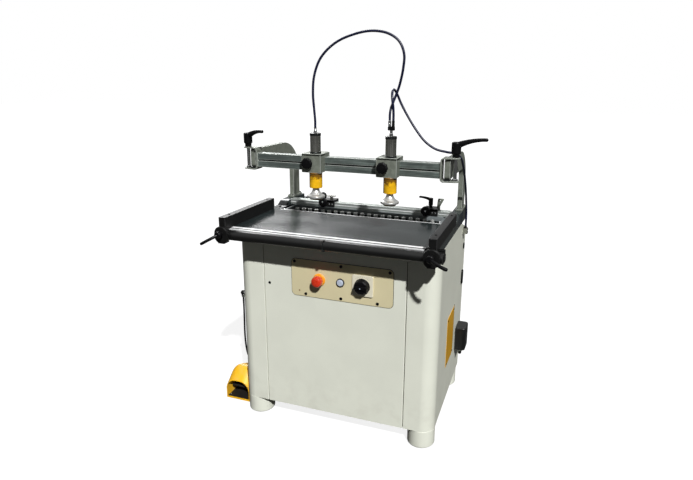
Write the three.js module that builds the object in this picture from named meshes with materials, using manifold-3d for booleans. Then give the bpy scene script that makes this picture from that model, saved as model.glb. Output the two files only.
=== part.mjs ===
// Multi-spindle boring machine: a cream steel cabinet with a dark table, two posts that carry
// a beam with two pneumatic pressers, and a row of geared spindles in a tilting head.
// Millimetres. X runs to the right, Y to the back, Z up. The model is laid out with X = 0 at the
// middle spindle, Y = 0 on the cabinet's front face and Z = 0 on the floor, and is moved last so
// that the origin is under the middle of the machine's own box.

import * as THREE from 'three';
import { mergeVertices } from 'three/addons/utils/BufferGeometryUtils.js';
import Module from 'manifold-3d';

const wasm = await Module();
wasm.setup();

// Sizes shared by several pieces
const clear = 0.3;
const overrun = 2;
const runningGap = 0.4;
const sidesFine = 20;
const sides = 16;
const sidesSmall = 10;
const cornerSteps = 5;
const quarterTurn = Math.PI / 2;

// Cabinet
const footHeight = 80;
const footChamfer = 5;
const cabinet = { halfWidth: 430, depth: 615, height: 762, cornerRadius: 57, sheet: 3 };
const seam = { halfWidth: 306, gap: 3, rearReturn: 25 };
const frameSetback = 30;
const rearCorner = { run: 136, drop: 47 };
const sideCover = { front: 233, depth: 160, bottom: 255, height: 227, thickness: 1.5 };
const panelPlug = { x: -281, drop: 204, radius: 6, height: 2 };

// Welded frame
const frameTube = { front: 50, rear: 40, wall: 40 };
const railLift = 2;
const frameSideInset = 54;
const frameRearInset = 23;
const rearRailHeight = 400;
const backSheet = 3;
const backSheetOverlap = 20;

// Table
const table = { thickness: 38, front: 53, depth: 350, wingWidth: 52, wingDepth: 303 };
const tableJoint = { width: 1.6, depth: 1.6 };
const postBase = { front: 365, slope: 35, height: 20, rear: 575, width: 43 };

// Front rail and side fences
const rail = { halfLength: 455, depth: 58, height: 47, noseRadius: 20, noseDrop: 5.5, jointX: 6 };
const railLip = { width: 4, inner: 8, step: 4, innerDrop: 1 };
const railSlot = { width: 7, depth: 12 };
const railJoint = { width: 1.6, depth: 1.4 };
const fence = { width: 29, height: 50, inner: 405, length: 401 };
const fenceJaw = {
  inner: 390, width: 59, thickness: 15.7, top: 15, corner: 28, lip: 6.7, lipDepth: 37, overlap: 2,
};
const fenceLever = {
  hubRadius: 14, hubHeight: 25, root: 17, arm: 70, rise: 30, armHeight: 13, armWidth: 12, stud: 5,
};
const fenceLeverPlace = { out: 14.5, down: 14 };
const fenceLeverAngles = [30, 17].map(THREE.MathUtils.degToRad);

// Posts and their arms
const arm = { thickness: 22, inner: 402, front: 132, rear: 551, postDepth: 65, top: 293, limb: 78 };
const armCorner = { outer: 157, inner: 40, nose: 12 };
const armFoot = { thickness: 8, depth: 97, width: 33 };

// Beam and its saddles
const beam = { front: 125, depth: 40, bottom: 218, height: 58, groove: 6, grooveDepth: 8 };
const saddle = { webGap: 9, webDepth: 52, bend: 13, ear: 5, earWidth: 36, overArm: 0.3, pad: 4.7 };
const saddleStudGap = 17;
const saddleLever = {
  hubRadius: 18, hubHeight: 58, root: 30, arm: 115, rise: 18, armHeight: 13, armWidth: 15, stud: 7,
};
const saddleLeverAngles = [THREE.MathUtils.degToRad(-28), 0];

// Pressers
const presserX = [-110, 201];
const presserSetback = 25;
const carriage = { left: 52, right: 30, front: 22, below: 2, above: 16, hook: 7, hookDrop: 36 };
const cylinder = { radius: 21, height: 80, bore: 16, capHeight: 7, capRadius: 22.5, roof: 8 };
const sleeve = { radius: 26, height: 62, wall: 3 };
const rod = { radius: 6, boreGap: 1, piston: 10, pistonGap: 0.5, ceiling: 4 };
const presserFoot = { radius: 36, height: 44, rim: 8, neck: 13, bottom: 106, padInset: 12, padHeight: 8 };
const presserKnob = { radius: 23, height: 18, offset: 24, up: 10, stud: 4, neck: 9 };
const fitting = { radius: 7, height: 22, hexSides: 6 };
const tee = { stem: 21, width: 26, depth: 13, height: 15, port: 5.6, portHeight: 22, half: 7 };

// Hoses
const airHose = 9.5;
const pedalHoseSize = 8;
const hoseSides = 8;

// Spindle row, head and tilting frame
const spindleCount = 21;
const spindlePitch = 32;
const rowSetback = 59;
const gearTeeth = 12;
const gear = { addendumShare: 0.75, dedendumShare: 0.975, tipShare: 0.375, rootShare: 0.9, height: 18 };
const spindle = {
  radius: 7, bore: 8, sides: 8, chuck: 9, chuckHeight: 27.7, socket: 5, socketDepth: 14, topDrop: 2,
};
const head = { halfLength: 348, halfDepth: 35, height: 110, plate: 12, wall: 8, endWall: 8 };
const headBottomBore = 8;
const gearLift = 22;
const couplingLength = 26;
const pivot = { back: 25.5, down: 18.5, pin: 9, depth: 14, gap: 0.6 };
const tiltSide = { thickness: 12, gap: 9, front: 16, rear: 118, top: 14, bottom: 213, chamfer: 30 };
const crossPlate = { thickness: 12, depth: 30, rise: 8, chamber: 6 };
const guide = { radius: 10, x: 250, gap: 0.5, lug: 44, lugDepth: 40, plateEdge: 6 };
const feedCylinder = { x: 130, radius: 24, length: 130, bore: 19, rod: 7, wall: 6, rodGap: 1 };
const fenceRail = { behindRow: 59, endGap: 2, depth: 40, height: 22, lift: 1, slot: 8, slotDepth: 8 };
const railPlateGap = 2;

// Drive motor
const motor = { radius: 64, length: 210, flange: 14, fin: 6, fins: 20, finShare: 0.5, cowl: 45 };
const motorTerminal = { width: 70, height: 80, depth: 34, drop: 60 };
const motorBay = { side: 12, rear: 5 };
const motorShaftGap = 1;

// Flip stops on the rear rail
const stopX = [-188, 300];
const stopBlock = { half: 32, cheek: 9.7, above: 12, cheekDown: 20, rearCheek: 8 };
const stopPivot = { offset: -21, up: 2, pin: 4, discRadius: 20, discThickness: 14, bore: 0.35 };
const stopBlade = { width: 16, bottom: 3 };
const stopBracket = { footWidth: 10, depth: 10, inner: 26, outer: 54, rise: 42 };
const stopPost = {
  x: 7, width: 6, depth: 22, height: 16, deck: 4, deckHalf: 19, knobRadius: 17.5, knobLength: 14,
};
const stopLever = {
  x: -6, hubRadius: 10, hubHeight: 44, root: 16, arm: 54, rise: 6, armHeight: 9, armWidth: 11,
};

// Control plate and its buttons
const plate = {
  x: 38, drop: 162.5, width: 430, height: 157, thickness: 2.5, corner: 18, screw: 6.2, head: 2.4,
};
const plateScrews = { topHalf: 201, bottomHalf: 153, edge: 11 };
const buttonDrop = 162;
const estop = {
  x: -55, collar: 26, collarHeight: 5, hole: 9, stem: 8, cap: 22, neck: 14, height: 34, stand: 14,
};
const start = { x: 36, bezel: 17, bezelHeight: 5, hole: 14.1, cap: 13.5, height: 4 };
const selector = { x: 130, plate: 86, plateHeight: 6, corner: 6, radius: 32, knob: 24, hub: 12, hole: 6 };
const selectorGrip = { width: 13, height: 6, lengthShare: 0.8 };

// Isolator box and its cable glands
const isolator = { front: 455, depth: 90, bottom: 232, height: 113, width: 50, corner: 14 };
const isolatorGland = { radius: 9, length: 26, spread: 22 };

// Air inlet block on the right wall, hose elbow on the left wall
const inlet = { y: 524, drop: 56, height: 26, depth: 26, out: 22, port: 6, portHeight: 10, embed: 1 };
const elbow = { y: 70, drop: 300, ball: 11, out: 25, stem: 8, port: 6.5, portDrop: 20 };

// Foot pedal
const pedal = { x: -505, width: 122, front: 61, depth: 200, height: 150, rearHeight: 90, wall: 4, corner: 50 };
const pedalNose = { run: 62, height: 98 };
const pedalBase = 7;
const treadle = { width: 92, length: 122, thickness: 9, pivotBack: 150, pivotUp: 40, pin: 5, slope: 9 };
const treadleEar = { thickness: 9, gap: 1, radius: 10, bore: 0.5 };
const pedalPort = { radius: 8, length: 10, up: 28 };

const materials = {
  cream: surface(0xdfe1d3, 0.42, 0.05),
  creamFrame: surface(0xd2d4c6, 0.5, 0.1),
  tablePaint: surface(0x3d4447, 0.28, 0.2),
  blackMetal: surface(0x17181a, 0.38, 0.4),
  galvanised: surface(0x8d938b, 0.45, 0.85),
  steel: surface(0xb9bcbd, 0.25, 0.95),
  aluminium: surface(0xc9cdd0, 0.35, 0.9),
  blackPlastic: surface(0x0f1011, 0.5, 0),
  beige: surface(0xc6bb8d, 0.5, 0),
  yellow: surface(0xf2b90f, 0.4, 0),
  red: surface(0xd7321c, 0.35, 0),
  paleBlue: surface(0xc9d6e8, 0.3, 0),
  navy: surface(0x14204a, 0.45, 0),
  castGrey: surface(0x6f7678, 0.6, 0.4),
};

// Levels and edges that follow from the sizes
const cabinetTop = footHeight + cabinet.height;
const tableTop = cabinetTop + table.thickness;
const tableRear = table.depth - table.front;
const wingInner = cabinet.halfWidth - table.wingWidth;
const railFront = -table.front - rail.depth;
const rowY = tableRear + rowSetback;
const pivotY = tableRear + pivot.back;
const pivotZ = tableTop - pivot.down;
const headTop = tableTop - spindle.topDrop - spindle.chuckHeight - clear;
const headBottom = headTop - head.height;
const gearBottom = headBottom + head.plate + gearLift;
const fenceRailFront = rowY + fenceRail.behindRow;
const fenceRailBottom = tableTop + fenceRail.lift;
const fenceRailTop = fenceRailBottom + fenceRail.height;
const beamBottom = tableTop + beam.bottom;
const beamTop = beamBottom + beam.height;
const beamRear = beam.front + beam.depth;
const beamMiddle = beam.front + beam.depth / 2;
const armTop = tableTop + arm.top;
const armBottom = armTop - arm.limb;
const earTop = armTop + saddle.overArm + saddle.ear;
const earBottom = armBottom - saddle.overArm - saddle.pad - saddle.ear;
const saddleWebOut = arm.inner - saddle.webGap - saddle.ear;
const saddleStudOut = arm.inner + arm.thickness + saddleStudGap;
const buttonRow = cabinetTop - buttonDrop;
const elbowZ = cabinetTop - elbow.drop;
const inletBottom = cabinetTop - inlet.drop;
const fenceRailHalf = cabinet.halfWidth - postBase.width - fenceRail.endGap;
const postFloor = tableTop + postBase.height;
const lowerPlateBottom = pivotZ - tiltSide.bottom;

function surface(color, roughness, metalness) {
  return new THREE.MeshStandardMaterial({ color, roughness, metalness });
}

// A closed mesh as a solid, turned the right way out
function solid(geometry) {
  const bare = geometry.clone();
  bare.deleteAttribute('normal');
  bare.deleteAttribute('uv');
  const merged = mergeVertices(bare);
  const points = merged.attributes.position.array;
  const index = merged.index.array;
  const corner = (i) => new THREE.Vector3().fromArray(points, index[i] * 3);
  const kept = [];
  let volume = 0;
  for (let i = 0; i < index.length; i += 3) {
    const [a, b, c] = [index[i], index[i + 1], index[i + 2]];
    if (a === b || b === c || c === a) continue;
    kept.push(a, b, c);
    volume += corner(i).dot(corner(i + 1).cross(corner(i + 2)));
  }
  if (volume < 0) kept.reverse();
  const mesh = new wasm.Mesh({
    numProp: 3,
    vertProperties: new Float32Array(points),
    triVerts: new Uint32Array(kept),
  });
  return new wasm.Manifold(mesh);
}

function fromSolid(body) {
  const mesh = body.getMesh();
  const geometry = new THREE.BufferGeometry();
  geometry.setAttribute('position', new THREE.BufferAttribute(mesh.vertProperties, 3));
  geometry.setIndex(new THREE.BufferAttribute(mesh.triVerts, 1));
  return geometry;
}

function join(...pieces) {
  return fromSolid(pieces.map(solid).reduce((all, piece) => all.add(piece)));
}

function cut(piece, ...tools) {
  return fromSolid(tools.map(solid).reduce((all, tool) => all.subtract(tool), solid(piece)));
}

function common(piece, other) {
  return fromSolid(solid(piece).intersect(solid(other)));
}

function block(x0, x1, y0, y1, z0, z1) {
  const box = new THREE.BoxGeometry(x1 - x0, y1 - y0, z1 - z0);
  return box.translate((x0 + x1) / 2, (y0 + y1) / 2, (z0 + z1) / 2);
}

const axisFrames = {
  X: [new THREE.Vector3(0, 1, 0), new THREE.Vector3(0, 0, 1), new THREE.Vector3(1, 0, 0)],
  Y: [new THREE.Vector3(0, 0, 1), new THREE.Vector3(1, 0, 0), new THREE.Vector3(0, 1, 0)],
  Z: [new THREE.Vector3(1, 0, 0), new THREE.Vector3(0, 1, 0), new THREE.Vector3(0, 0, 1)],
};

// An outline pushed along an axis. Points are [y, z] for X, [x, z] for Y and [x, y] for Z.
function prism(axis, outline, from, to) {
  const points = outline.map(([a, b]) => (axis === 'Y' ? new THREE.Vector2(b, a) : new THREE.Vector2(a, b)));
  const shape = new THREE.Shape(points);
  const body = new THREE.ExtrudeGeometry(shape, { depth: to - from, bevelEnabled: false });
  body.translate(0, 0, from);
  return body.applyMatrix4(new THREE.Matrix4().makeBasis(...axisFrames[axis]));
}

// A turned piece: the profile is [radius, place along the axis]
function turned(axis, profile, segments = sides) {
  const points = profile.map(([radius, along]) => new THREE.Vector2(radius, along));
  const body = new THREE.LatheGeometry(points, segments);
  const turn = { X: [0, 0, -quarterTurn], Y: [0, 0, 0], Z: [quarterTurn, 0, 0] }[axis];
  return body.applyMatrix4(new THREE.Matrix4().makeRotationFromEuler(new THREE.Euler(...turn)));
}

function pin(axis, radius, from, to, segments = sides) {
  return turned(axis, [[0, from], [radius, from], [radius, to], [0, to]], segments);
}

function arc(centreA, centreB, radius, start, end, steps = cornerSteps) {
  const points = [];
  for (let i = 0; i <= steps; i += 1) {
    const angle = start + ((end - start) * i) / steps;
    points.push([centreA + radius * Math.cos(angle), centreB + radius * Math.sin(angle)]);
  }
  return points;
}

function roundedRectangle(x0, x1, z0, z1, radius) {
  return [
    ...arc(x1 - radius, z1 - radius, radius, 0, quarterTurn),
    ...arc(x0 + radius, z1 - radius, radius, quarterTurn, 2 * quarterTurn),
    ...arc(x0 + radius, z0 + radius, radius, 2 * quarterTurn, 3 * quarterTurn),
    ...arc(x1 - radius, z0 + radius, radius, 3 * quarterTurn, 4 * quarterTurn),
  ];
}

// The outline of a bent sheet: a path of outer faces and its copy one thickness to the left
function bentSheet(path, thickness) {
  const inner = path.map((point, i) => {
    const here = new THREE.Vector2(...point);
    const before = new THREE.Vector2(...(path[i - 1] ?? point));
    const after = new THREE.Vector2(...(path[i + 1] ?? point));
    const ways = [here.clone().sub(before), after.clone().sub(here)].filter((way) => way.length() > 0);
    const normals = ways.map((way) => new THREE.Vector2(-way.y, way.x).normalize());
    const sum = normals.reduce((a, b) => a.clone().add(b));
    const offset = sum.multiplyScalar((thickness * normals.length) / sum.dot(sum));
    return here.add(offset).toArray();
  });
  return [...path, ...inner.reverse()];
}

function mirrored(geometry) {
  return fromSolid(solid(geometry).scale([-1, 1, 1]));
}

function tube(points, diameter, steps) {
  const places = points.map((point) => new THREE.Vector3(...point));
  const route = new THREE.CatmullRomCurve3(places, false, 'centripetal');
  const ring = new THREE.Shape(arc(0, 0, diameter / 2, 0, 4 * quarterTurn, hoseSides)
    .slice(0, hoseSides).map(([a, b]) => new THREE.Vector2(a, b)));
  return new THREE.ExtrudeGeometry(ring, { steps, extrudePath: route, bevelEnabled: false });
}

const machine = new THREE.Group();
const cordNames = [];

function add(parent, name, geometry, material, place = [0, 0, 0], turn = [0, 0, 0]) {
  const mesh = new THREE.Mesh(fromSolid(solid(geometry)), material);
  mesh.name = name;
  mesh.position.set(...place);
  mesh.rotation.set(...turn);
  parent.add(mesh);
  return mesh;
}

const sideNames = ['left', 'right'];
const bySide = (geometry, side) => (side === 'left' ? mirrored(geometry) : geometry);
const signOf = (side) => (side === 'left' ? -1 : 1);

// Welded frame with its four round feet
function makeFrame() {
  const footX = cabinet.halfWidth - cabinet.cornerRadius;
  const footY = [cabinet.cornerRadius, cabinet.depth - cabinet.cornerRadius];
  const radius = cabinet.cornerRadius;
  const footTop = footHeight - clear;
  const profile = [[0, 0], [radius - footChamfer, 0], [radius, footChamfer], [radius, footTop], [0, footTop]];
  const top = cabinetTop - clear;
  const low = footHeight + railLift;
  const outer = cabinet.halfWidth - frameSideInset + frameTube.rear;
  const inner = outer - frameTube.rear;
  const rear = cabinet.depth - frameRearInset;
  const rearIn = rear - frameTube.rear;
  const frontX = footX + frameTube.front / 2 - clear * 10;
  const frontY = [frameSetback, frameSetback + frameTube.front];
  const footIn = footHeight - footChamfer;
  const pieces = [];
  for (const sign of [-1, 1]) {
    const across = (from, to) => (sign > 0 ? [from, to] : [-to, -from]);
    for (const y of footY) pieces.push(turned('Z', profile, sidesFine).translate(sign * footX, y, 0));
    pieces.push(block(...across(frontX - frameTube.front, frontX), ...frontY, footIn, top));
    pieces.push(block(...across(inner, outer), rearIn, rear, footIn, top));
    for (const z of [low, top - frameTube.wall]) {
      pieces.push(block(...across(inner, outer), frameSetback + frameTube.front / 2, rear,
        z, z + frameTube.wall));
    }
  }
  for (const z of [low, top - frameTube.wall]) {
    pieces.push(block(-frontX, frontX, frameSetback, frontY[1] - railLift, z, z + frameTube.wall));
  }
  for (const z of [low, rearRailHeight - frameTube.wall]) {
    pieces.push(block(-outer, outer, rearIn, rear, z, z + frameTube.wall));
  }
  const sheetHalf = outer - backSheetOverlap / 2;
  pieces.push(block(-sheetHalf, sheetHalf, rear - backSheet, rear + backSheet, low, rearRailHeight));
  add(machine, 'base_frame', join(...pieces), materials.creamFrame);
}

// Side shells: flat wall, round front column and the strip up to the panel seam
function makeShells() {
  const { halfWidth, depth, cornerRadius, sheet } = cabinet;
  const seamX = seam.halfWidth + seam.gap / 2;
  const path = [
    [seamX, frameSetback - clear],
    [seamX, 0],
    ...arc(halfWidth - cornerRadius, cornerRadius, cornerRadius, -quarterTurn, 0, cornerSteps + 1),
    [halfWidth, depth],
    [halfWidth - seam.rearReturn, depth],
  ];
  const bent = prism('Z', bentSheet(path, sheet), footHeight, cabinetTop);
  const over = cabinetTop + overrun;
  const wedge = prism('X', [
    [depth - rearCorner.run, cabinetTop],
    [depth - rearCorner.run, over],
    [depth + overrun, over],
    [depth + overrun, cabinetTop - rearCorner.drop],
    [depth, cabinetTop - rearCorner.drop],
  ], halfWidth - seam.rearReturn - overrun, halfWidth + overrun);
  const shell = cut(bent, wedge);
  const embed = halfWidth - inlet.embed;
  const cover = block(embed, halfWidth + sideCover.thickness, sideCover.front, sideCover.front + sideCover.depth,
    sideCover.bottom, sideCover.bottom + sideCover.height);
  const inletTop = inletBottom + inlet.height;
  const inletBlock = block(embed, halfWidth + inlet.out, inlet.y - inlet.depth / 2, inlet.y + inlet.depth / 2,
    inletBottom, inletTop);
  const inletPort = pin('Z', inlet.port, inletTop - inlet.embed, inletTop + inlet.portHeight, sidesSmall)
    .translate(halfWidth + inlet.out / 2, inlet.y, 0);
  add(machine, 'right_side_shell', join(shell, cover, inletBlock, inletPort), materials.cream);

  const stem = pin('X', elbow.stem, embed, halfWidth + elbow.out, sidesSmall).translate(0, elbow.y, elbowZ);
  const ball = new THREE.SphereGeometry(elbow.ball, sidesSmall, sidesSmall / 2)
    .translate(halfWidth + elbow.out, elbow.y, elbowZ);
  const port = pin('Z', elbow.port, elbowZ - elbow.portDrop, elbowZ, sidesSmall)
    .translate(halfWidth + elbow.out, elbow.y, 0);
  add(machine, 'left_side_shell', mirrored(join(shell, stem, ball, port)), materials.cream);
}

function makeFrontPanel() {
  const half = seam.halfWidth - seam.gap / 2;
  const path = [[-half, frameSetback - clear], [-half, 0], [half, 0], [half, frameSetback - clear]];
  const pan = prism('Z', bentSheet(path, cabinet.sheet), footHeight, cabinetTop);
  const plug = pin('Y', panelPlug.radius, -panelPlug.height, cabinet.sheet / 2, sidesSmall)
    .translate(panelPlug.x, 0, cabinetTop - panelPlug.drop);
  const holes = [[estop.x, estop.hole], [start.x, start.hole], [selector.x, selector.hole + runningGap]];
  const tools = holes.map(([x, radius]) => pin('Y', radius, -overrun, cabinet.sheet + overrun, sides)
    .translate(x, 0, buttonRow));
  add(machine, 'front_panel', cut(join(pan, plug), ...tools), materials.cream);
}

// Table with its two rear wings, which hold the tilting frame's pins and the post bases
function makeTable() {
  const half = cabinet.halfWidth;
  const wingRear = tableRear + table.wingDepth;
  const outline = [
    [-half, -table.front], [half, -table.front], [half, wingRear], [wingInner, wingRear],
    [wingInner, tableRear], [-wingInner, tableRear], [-wingInner, wingRear], [-half, wingRear],
  ];
  const pieces = [prism('Z', outline, cabinetTop + clear, tableTop)];
  const cuts = [];
  const baseSide = [
    [postBase.front, tableTop - overrun],
    [postBase.front, tableTop],
    [postBase.front + postBase.slope, postFloor],
    [postBase.rear, postFloor],
    [postBase.rear, tableTop - overrun],
  ];
  for (const sign of [-1, 1]) {
    const near = half - postBase.width;
    pieces.push(prism('X', baseSide, sign > 0 ? near : -half, sign > 0 ? half : -near));
    const pinEnd = wingInner + pivot.depth;
    cuts.push(pin('X', pivot.pin + pivot.gap, sign > 0 ? wingInner - overrun : -pinEnd,
      sign > 0 ? pinEnd : -wingInner + overrun).translate(0, pivotY, pivotZ));
  }
  cuts.push(block(-half - overrun, half + overrun, tableRear, tableRear + tableJoint.width,
    tableTop - tableJoint.depth, tableTop + overrun));
  add(machine, 'table_top', cut(join(...pieces), ...cuts), materials.tablePaint);
}

// Front rail: two lips, a slot and a round nose
function makeFrontRail() {
  const rear = -table.front - clear;
  const bottom = tableTop - rail.height;
  const noseTop = tableTop - rail.noseDrop;
  const noseY = railFront + rail.noseRadius;
  const noseZ = noseTop - rail.noseRadius;
  const valley = tableTop - railLip.step;
  const innerLip = rear - railLip.width - railLip.inner;
  const slotFront = innerLip - railLip.width - railSlot.width;
  const outline = [
    [rear, bottom],
    [rear, tableTop],
    [rear - railLip.width, tableTop],
    [rear - railLip.width, valley],
    [innerLip, valley],
    [innerLip, tableTop - railLip.innerDrop],
    [innerLip - railLip.width, tableTop - railLip.innerDrop],
    [innerLip - railLip.width, tableTop - railSlot.depth],
    [slotFront, tableTop - railSlot.depth],
    [slotFront, noseTop],
    ...arc(noseY, noseZ, rail.noseRadius, quarterTurn, 3 * quarterTurn, cornerSteps * 2),
    [noseY, bottom],
  ];
  const bar = prism('X', outline, -rail.halfLength, rail.halfLength);
  const groove = block(rail.jointX, rail.jointX + railJoint.width, railFront - overrun,
    railFront + railJoint.depth, bottom - overrun, tableTop + overrun);
  add(machine, 'front_rail', cut(bar, groove), materials.blackMetal);
}

// A clamp lever: a hub that stands on z = 0 and an arm that rises along +X. studDown goes below.
function clampLever(size, studDown) {
  const { hubRadius, hubHeight, root, arm: reach, rise, armHeight, armWidth, stud } = size;
  const tip = armHeight / 2;
  const hub = turned('Z', [
    [0, 0], [hubRadius * 0.72, 0], [hubRadius * 0.76, hubHeight * 0.22], [hubRadius, hubHeight * 0.28],
    [hubRadius, hubHeight - hubRadius * 0.2], [hubRadius * 0.86, hubHeight], [0, hubHeight],
  ], sides);
  const steps = Array.from({ length: cornerSteps + 1 }, (_, i) => i / cornerSteps);
  const bow = (share) => 1 - (1 - share) * (1 - share);
  const below = steps.map((share) => [(reach - tip) * share,
    hubHeight - root + (root + rise - armHeight) * bow(share)]);
  const above = steps.map((share) => [(reach - tip) * share, hubHeight + rise * bow(share)]).reverse();
  const end = arc(reach - tip, hubHeight + rise - tip, tip, -quarterTurn, quarterTurn, cornerSteps - 1)
    .slice(1, -1);
  const pieces = [hub, prism('Y', [...below, ...end, ...above], -armWidth / 2, armWidth / 2)];
  if (studDown > 0) pieces.push(pin('Z', stud, -studDown, overrun, sidesSmall));
  return join(...pieces);
}

// Side fences, each with the jaw that holds the front rail and its clamp lever
function makeFences() {
  const y0 = railFront - clear;
  const jawTop = tableTop + fenceJaw.top;
  const railBottom = tableTop - rail.height;
  const outer = fence.inner + fence.width;
  const floor = tableTop + clear;
  const jawBottom = railBottom - clear - fenceJaw.lip;
  const jawFront = y0 - fenceJaw.thickness;
  const bar = block(fence.inner, outer, y0 - fenceJaw.overlap, railFront + fence.length,
    floor, tableTop + fence.height);
  const jawOuter = fenceJaw.inner + fenceJaw.width;
  const jawShape = roundedRectangle(fenceJaw.inner, jawOuter, jawBottom, jawTop, fenceJaw.corner);
  const jaw = prism('Y', jawShape, jawFront, y0);
  const lip = block(fence.inner, outer, jawFront, jawFront + fenceJaw.lipDepth, jawBottom, railBottom - clear);
  const studX = fence.inner + fenceLeverPlace.out;
  const studZ = tableTop - fenceLeverPlace.down;
  const boreRear = jawFront + fenceJaw.thickness - overrun;
  const bore = pin('Y', fenceLever.stud + runningGap, jawFront - overrun, boreRear, sidesSmall)
    .translate(studX, 0, studZ);
  const geometry = cut(join(bar, jaw, lip), bore);
  const studLength = fenceJaw.thickness - overrun * 2;
  const lever = clampLever(fenceLever, studLength);
  sideNames.forEach((side, i) => {
    add(machine, `${side}_side_fence`, bySide(geometry, side), materials.blackMetal);
    const sign = signOf(side);
    const swing = sign > 0 ? -fenceLeverAngles[i] : -2 * quarterTurn + fenceLeverAngles[i];
    const stand = new THREE.Group();
    stand.position.set(sign * studX, jawFront - clear, studZ);
    stand.rotation.set(quarterTurn, 0, 0);
    add(stand, `${side}_fence_lever`, lever, materials.blackPlastic, [0, 0, 0], [0, 0, swing]);
    machine.add(stand);
  });
}

// Arms: an inverted L of plate on each side, with a foot on the table's wing
function makeArms() {
  const { inner, thickness, front, rear, postDepth } = arm;
  const floor = postFloor + clear;
  const postFront = rear - postDepth;
  const noseY = front + armCorner.nose;
  const outline = [
    [postFront, floor],
    [rear, floor],
    ...arc(rear - armCorner.outer, armTop - armCorner.outer, armCorner.outer, 0, quarterTurn, cornerSteps * 2),
    ...arc(noseY, armTop - armCorner.nose, armCorner.nose, quarterTurn, 2 * quarterTurn, 3),
    ...arc(noseY, armBottom + armCorner.nose, armCorner.nose, 2 * quarterTurn, 3 * quarterTurn, 3),
    ...arc(postFront - armCorner.inner, armBottom - armCorner.inner, armCorner.inner, quarterTurn, 0),
  ];
  const limb = prism('X', outline, inner, inner + thickness);
  const middle = inner + thickness / 2;
  const centre = (postFront + rear) / 2;
  const foot = block(middle - armFoot.width / 2, middle + armFoot.width / 2,
    centre - armFoot.depth / 2, centre + armFoot.depth / 2, floor, floor + armFoot.thickness);
  const geometry = join(limb, foot);
  sideNames.forEach((side) => add(machine, `${side}_arm`, bySide(geometry, side), materials.galvanised));
}

// Beam with a saddle at each end, whose ears pass over and under the arm
const beamGroup = new THREE.Group();
machine.add(beamGroup);

function makeBeam() {
  const reach = saddleWebOut + saddle.ear / 2;
  const face = beam.front + beam.grooveDepth;
  const faceMiddle = (beamBottom + beamTop) / 2;
  const bar = cut(
    block(-reach, reach, beam.front, beamRear, beamBottom, beamTop),
    block(-reach - overrun, reach + overrun, beam.front - overrun, face,
      faceMiddle - beam.groove / 2, faceMiddle + beam.groove / 2),
    block(-reach - overrun, reach + overrun, beamMiddle - beam.groove / 2, beamMiddle + beam.groove / 2,
      beamTop - beam.grooveDepth, beamTop + overrun),
  );
  const earRadius = saddle.earWidth / 2;
  const webHalf = saddle.webDepth / 2;
  const bendOut = saddleWebOut + saddle.bend;
  const earEnd = saddleStudOut + earRadius;
  const strap = bentSheet([
    [earEnd, earTop],
    ...arc(bendOut, earTop - saddle.bend, saddle.bend, quarterTurn, 2 * quarterTurn),
    ...arc(bendOut, earBottom + saddle.bend, saddle.bend, 2 * quarterTurn, 3 * quarterTurn),
    [earEnd, earBottom],
  ], saddle.ear);
  const strapPlan = [
    [saddleWebOut - overrun, beamMiddle + webHalf],
    [saddleWebOut - overrun, beamMiddle - webHalf],
    [bendOut, beamMiddle - webHalf],
    ...arc(saddleStudOut, beamMiddle, earRadius, -quarterTurn, quarterTurn, cornerSteps * 2),
    [bendOut, beamMiddle + webHalf],
  ];
  const padTop = earBottom + saddle.ear + saddle.pad;
  const pieces = [
    common(prism('Y', strap, beamMiddle - webHalf, beamMiddle + webHalf),
      prism('Z', strapPlan, earBottom - overrun, earTop + overrun)),
    block(arm.inner, arm.inner + arm.thickness, beamMiddle - earRadius, beamMiddle + earRadius,
      earBottom + saddle.ear / 2, padTop),
  ];
  const hole = pin('Z', saddleLever.stud + runningGap, earBottom - overrun, earTop + overrun, sidesSmall)
    .translate(saddleStudOut, beamMiddle, 0);
  const end = cut(join(...pieces), hole);
  add(beamGroup, 'presser_beam', join(bar, end, mirrored(end)), materials.galvanised);

  const studLength = earTop - earBottom + clear;
  const lever = clampLever(saddleLever, studLength);
  sideNames.forEach((side, i) => add(beamGroup, `${side}_saddle_lever`, lever, materials.blackPlastic,
    [signOf(side) * saddleStudOut, beamMiddle, earTop + clear], [0, 0, saddleLeverAngles[i]]));
}

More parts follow.
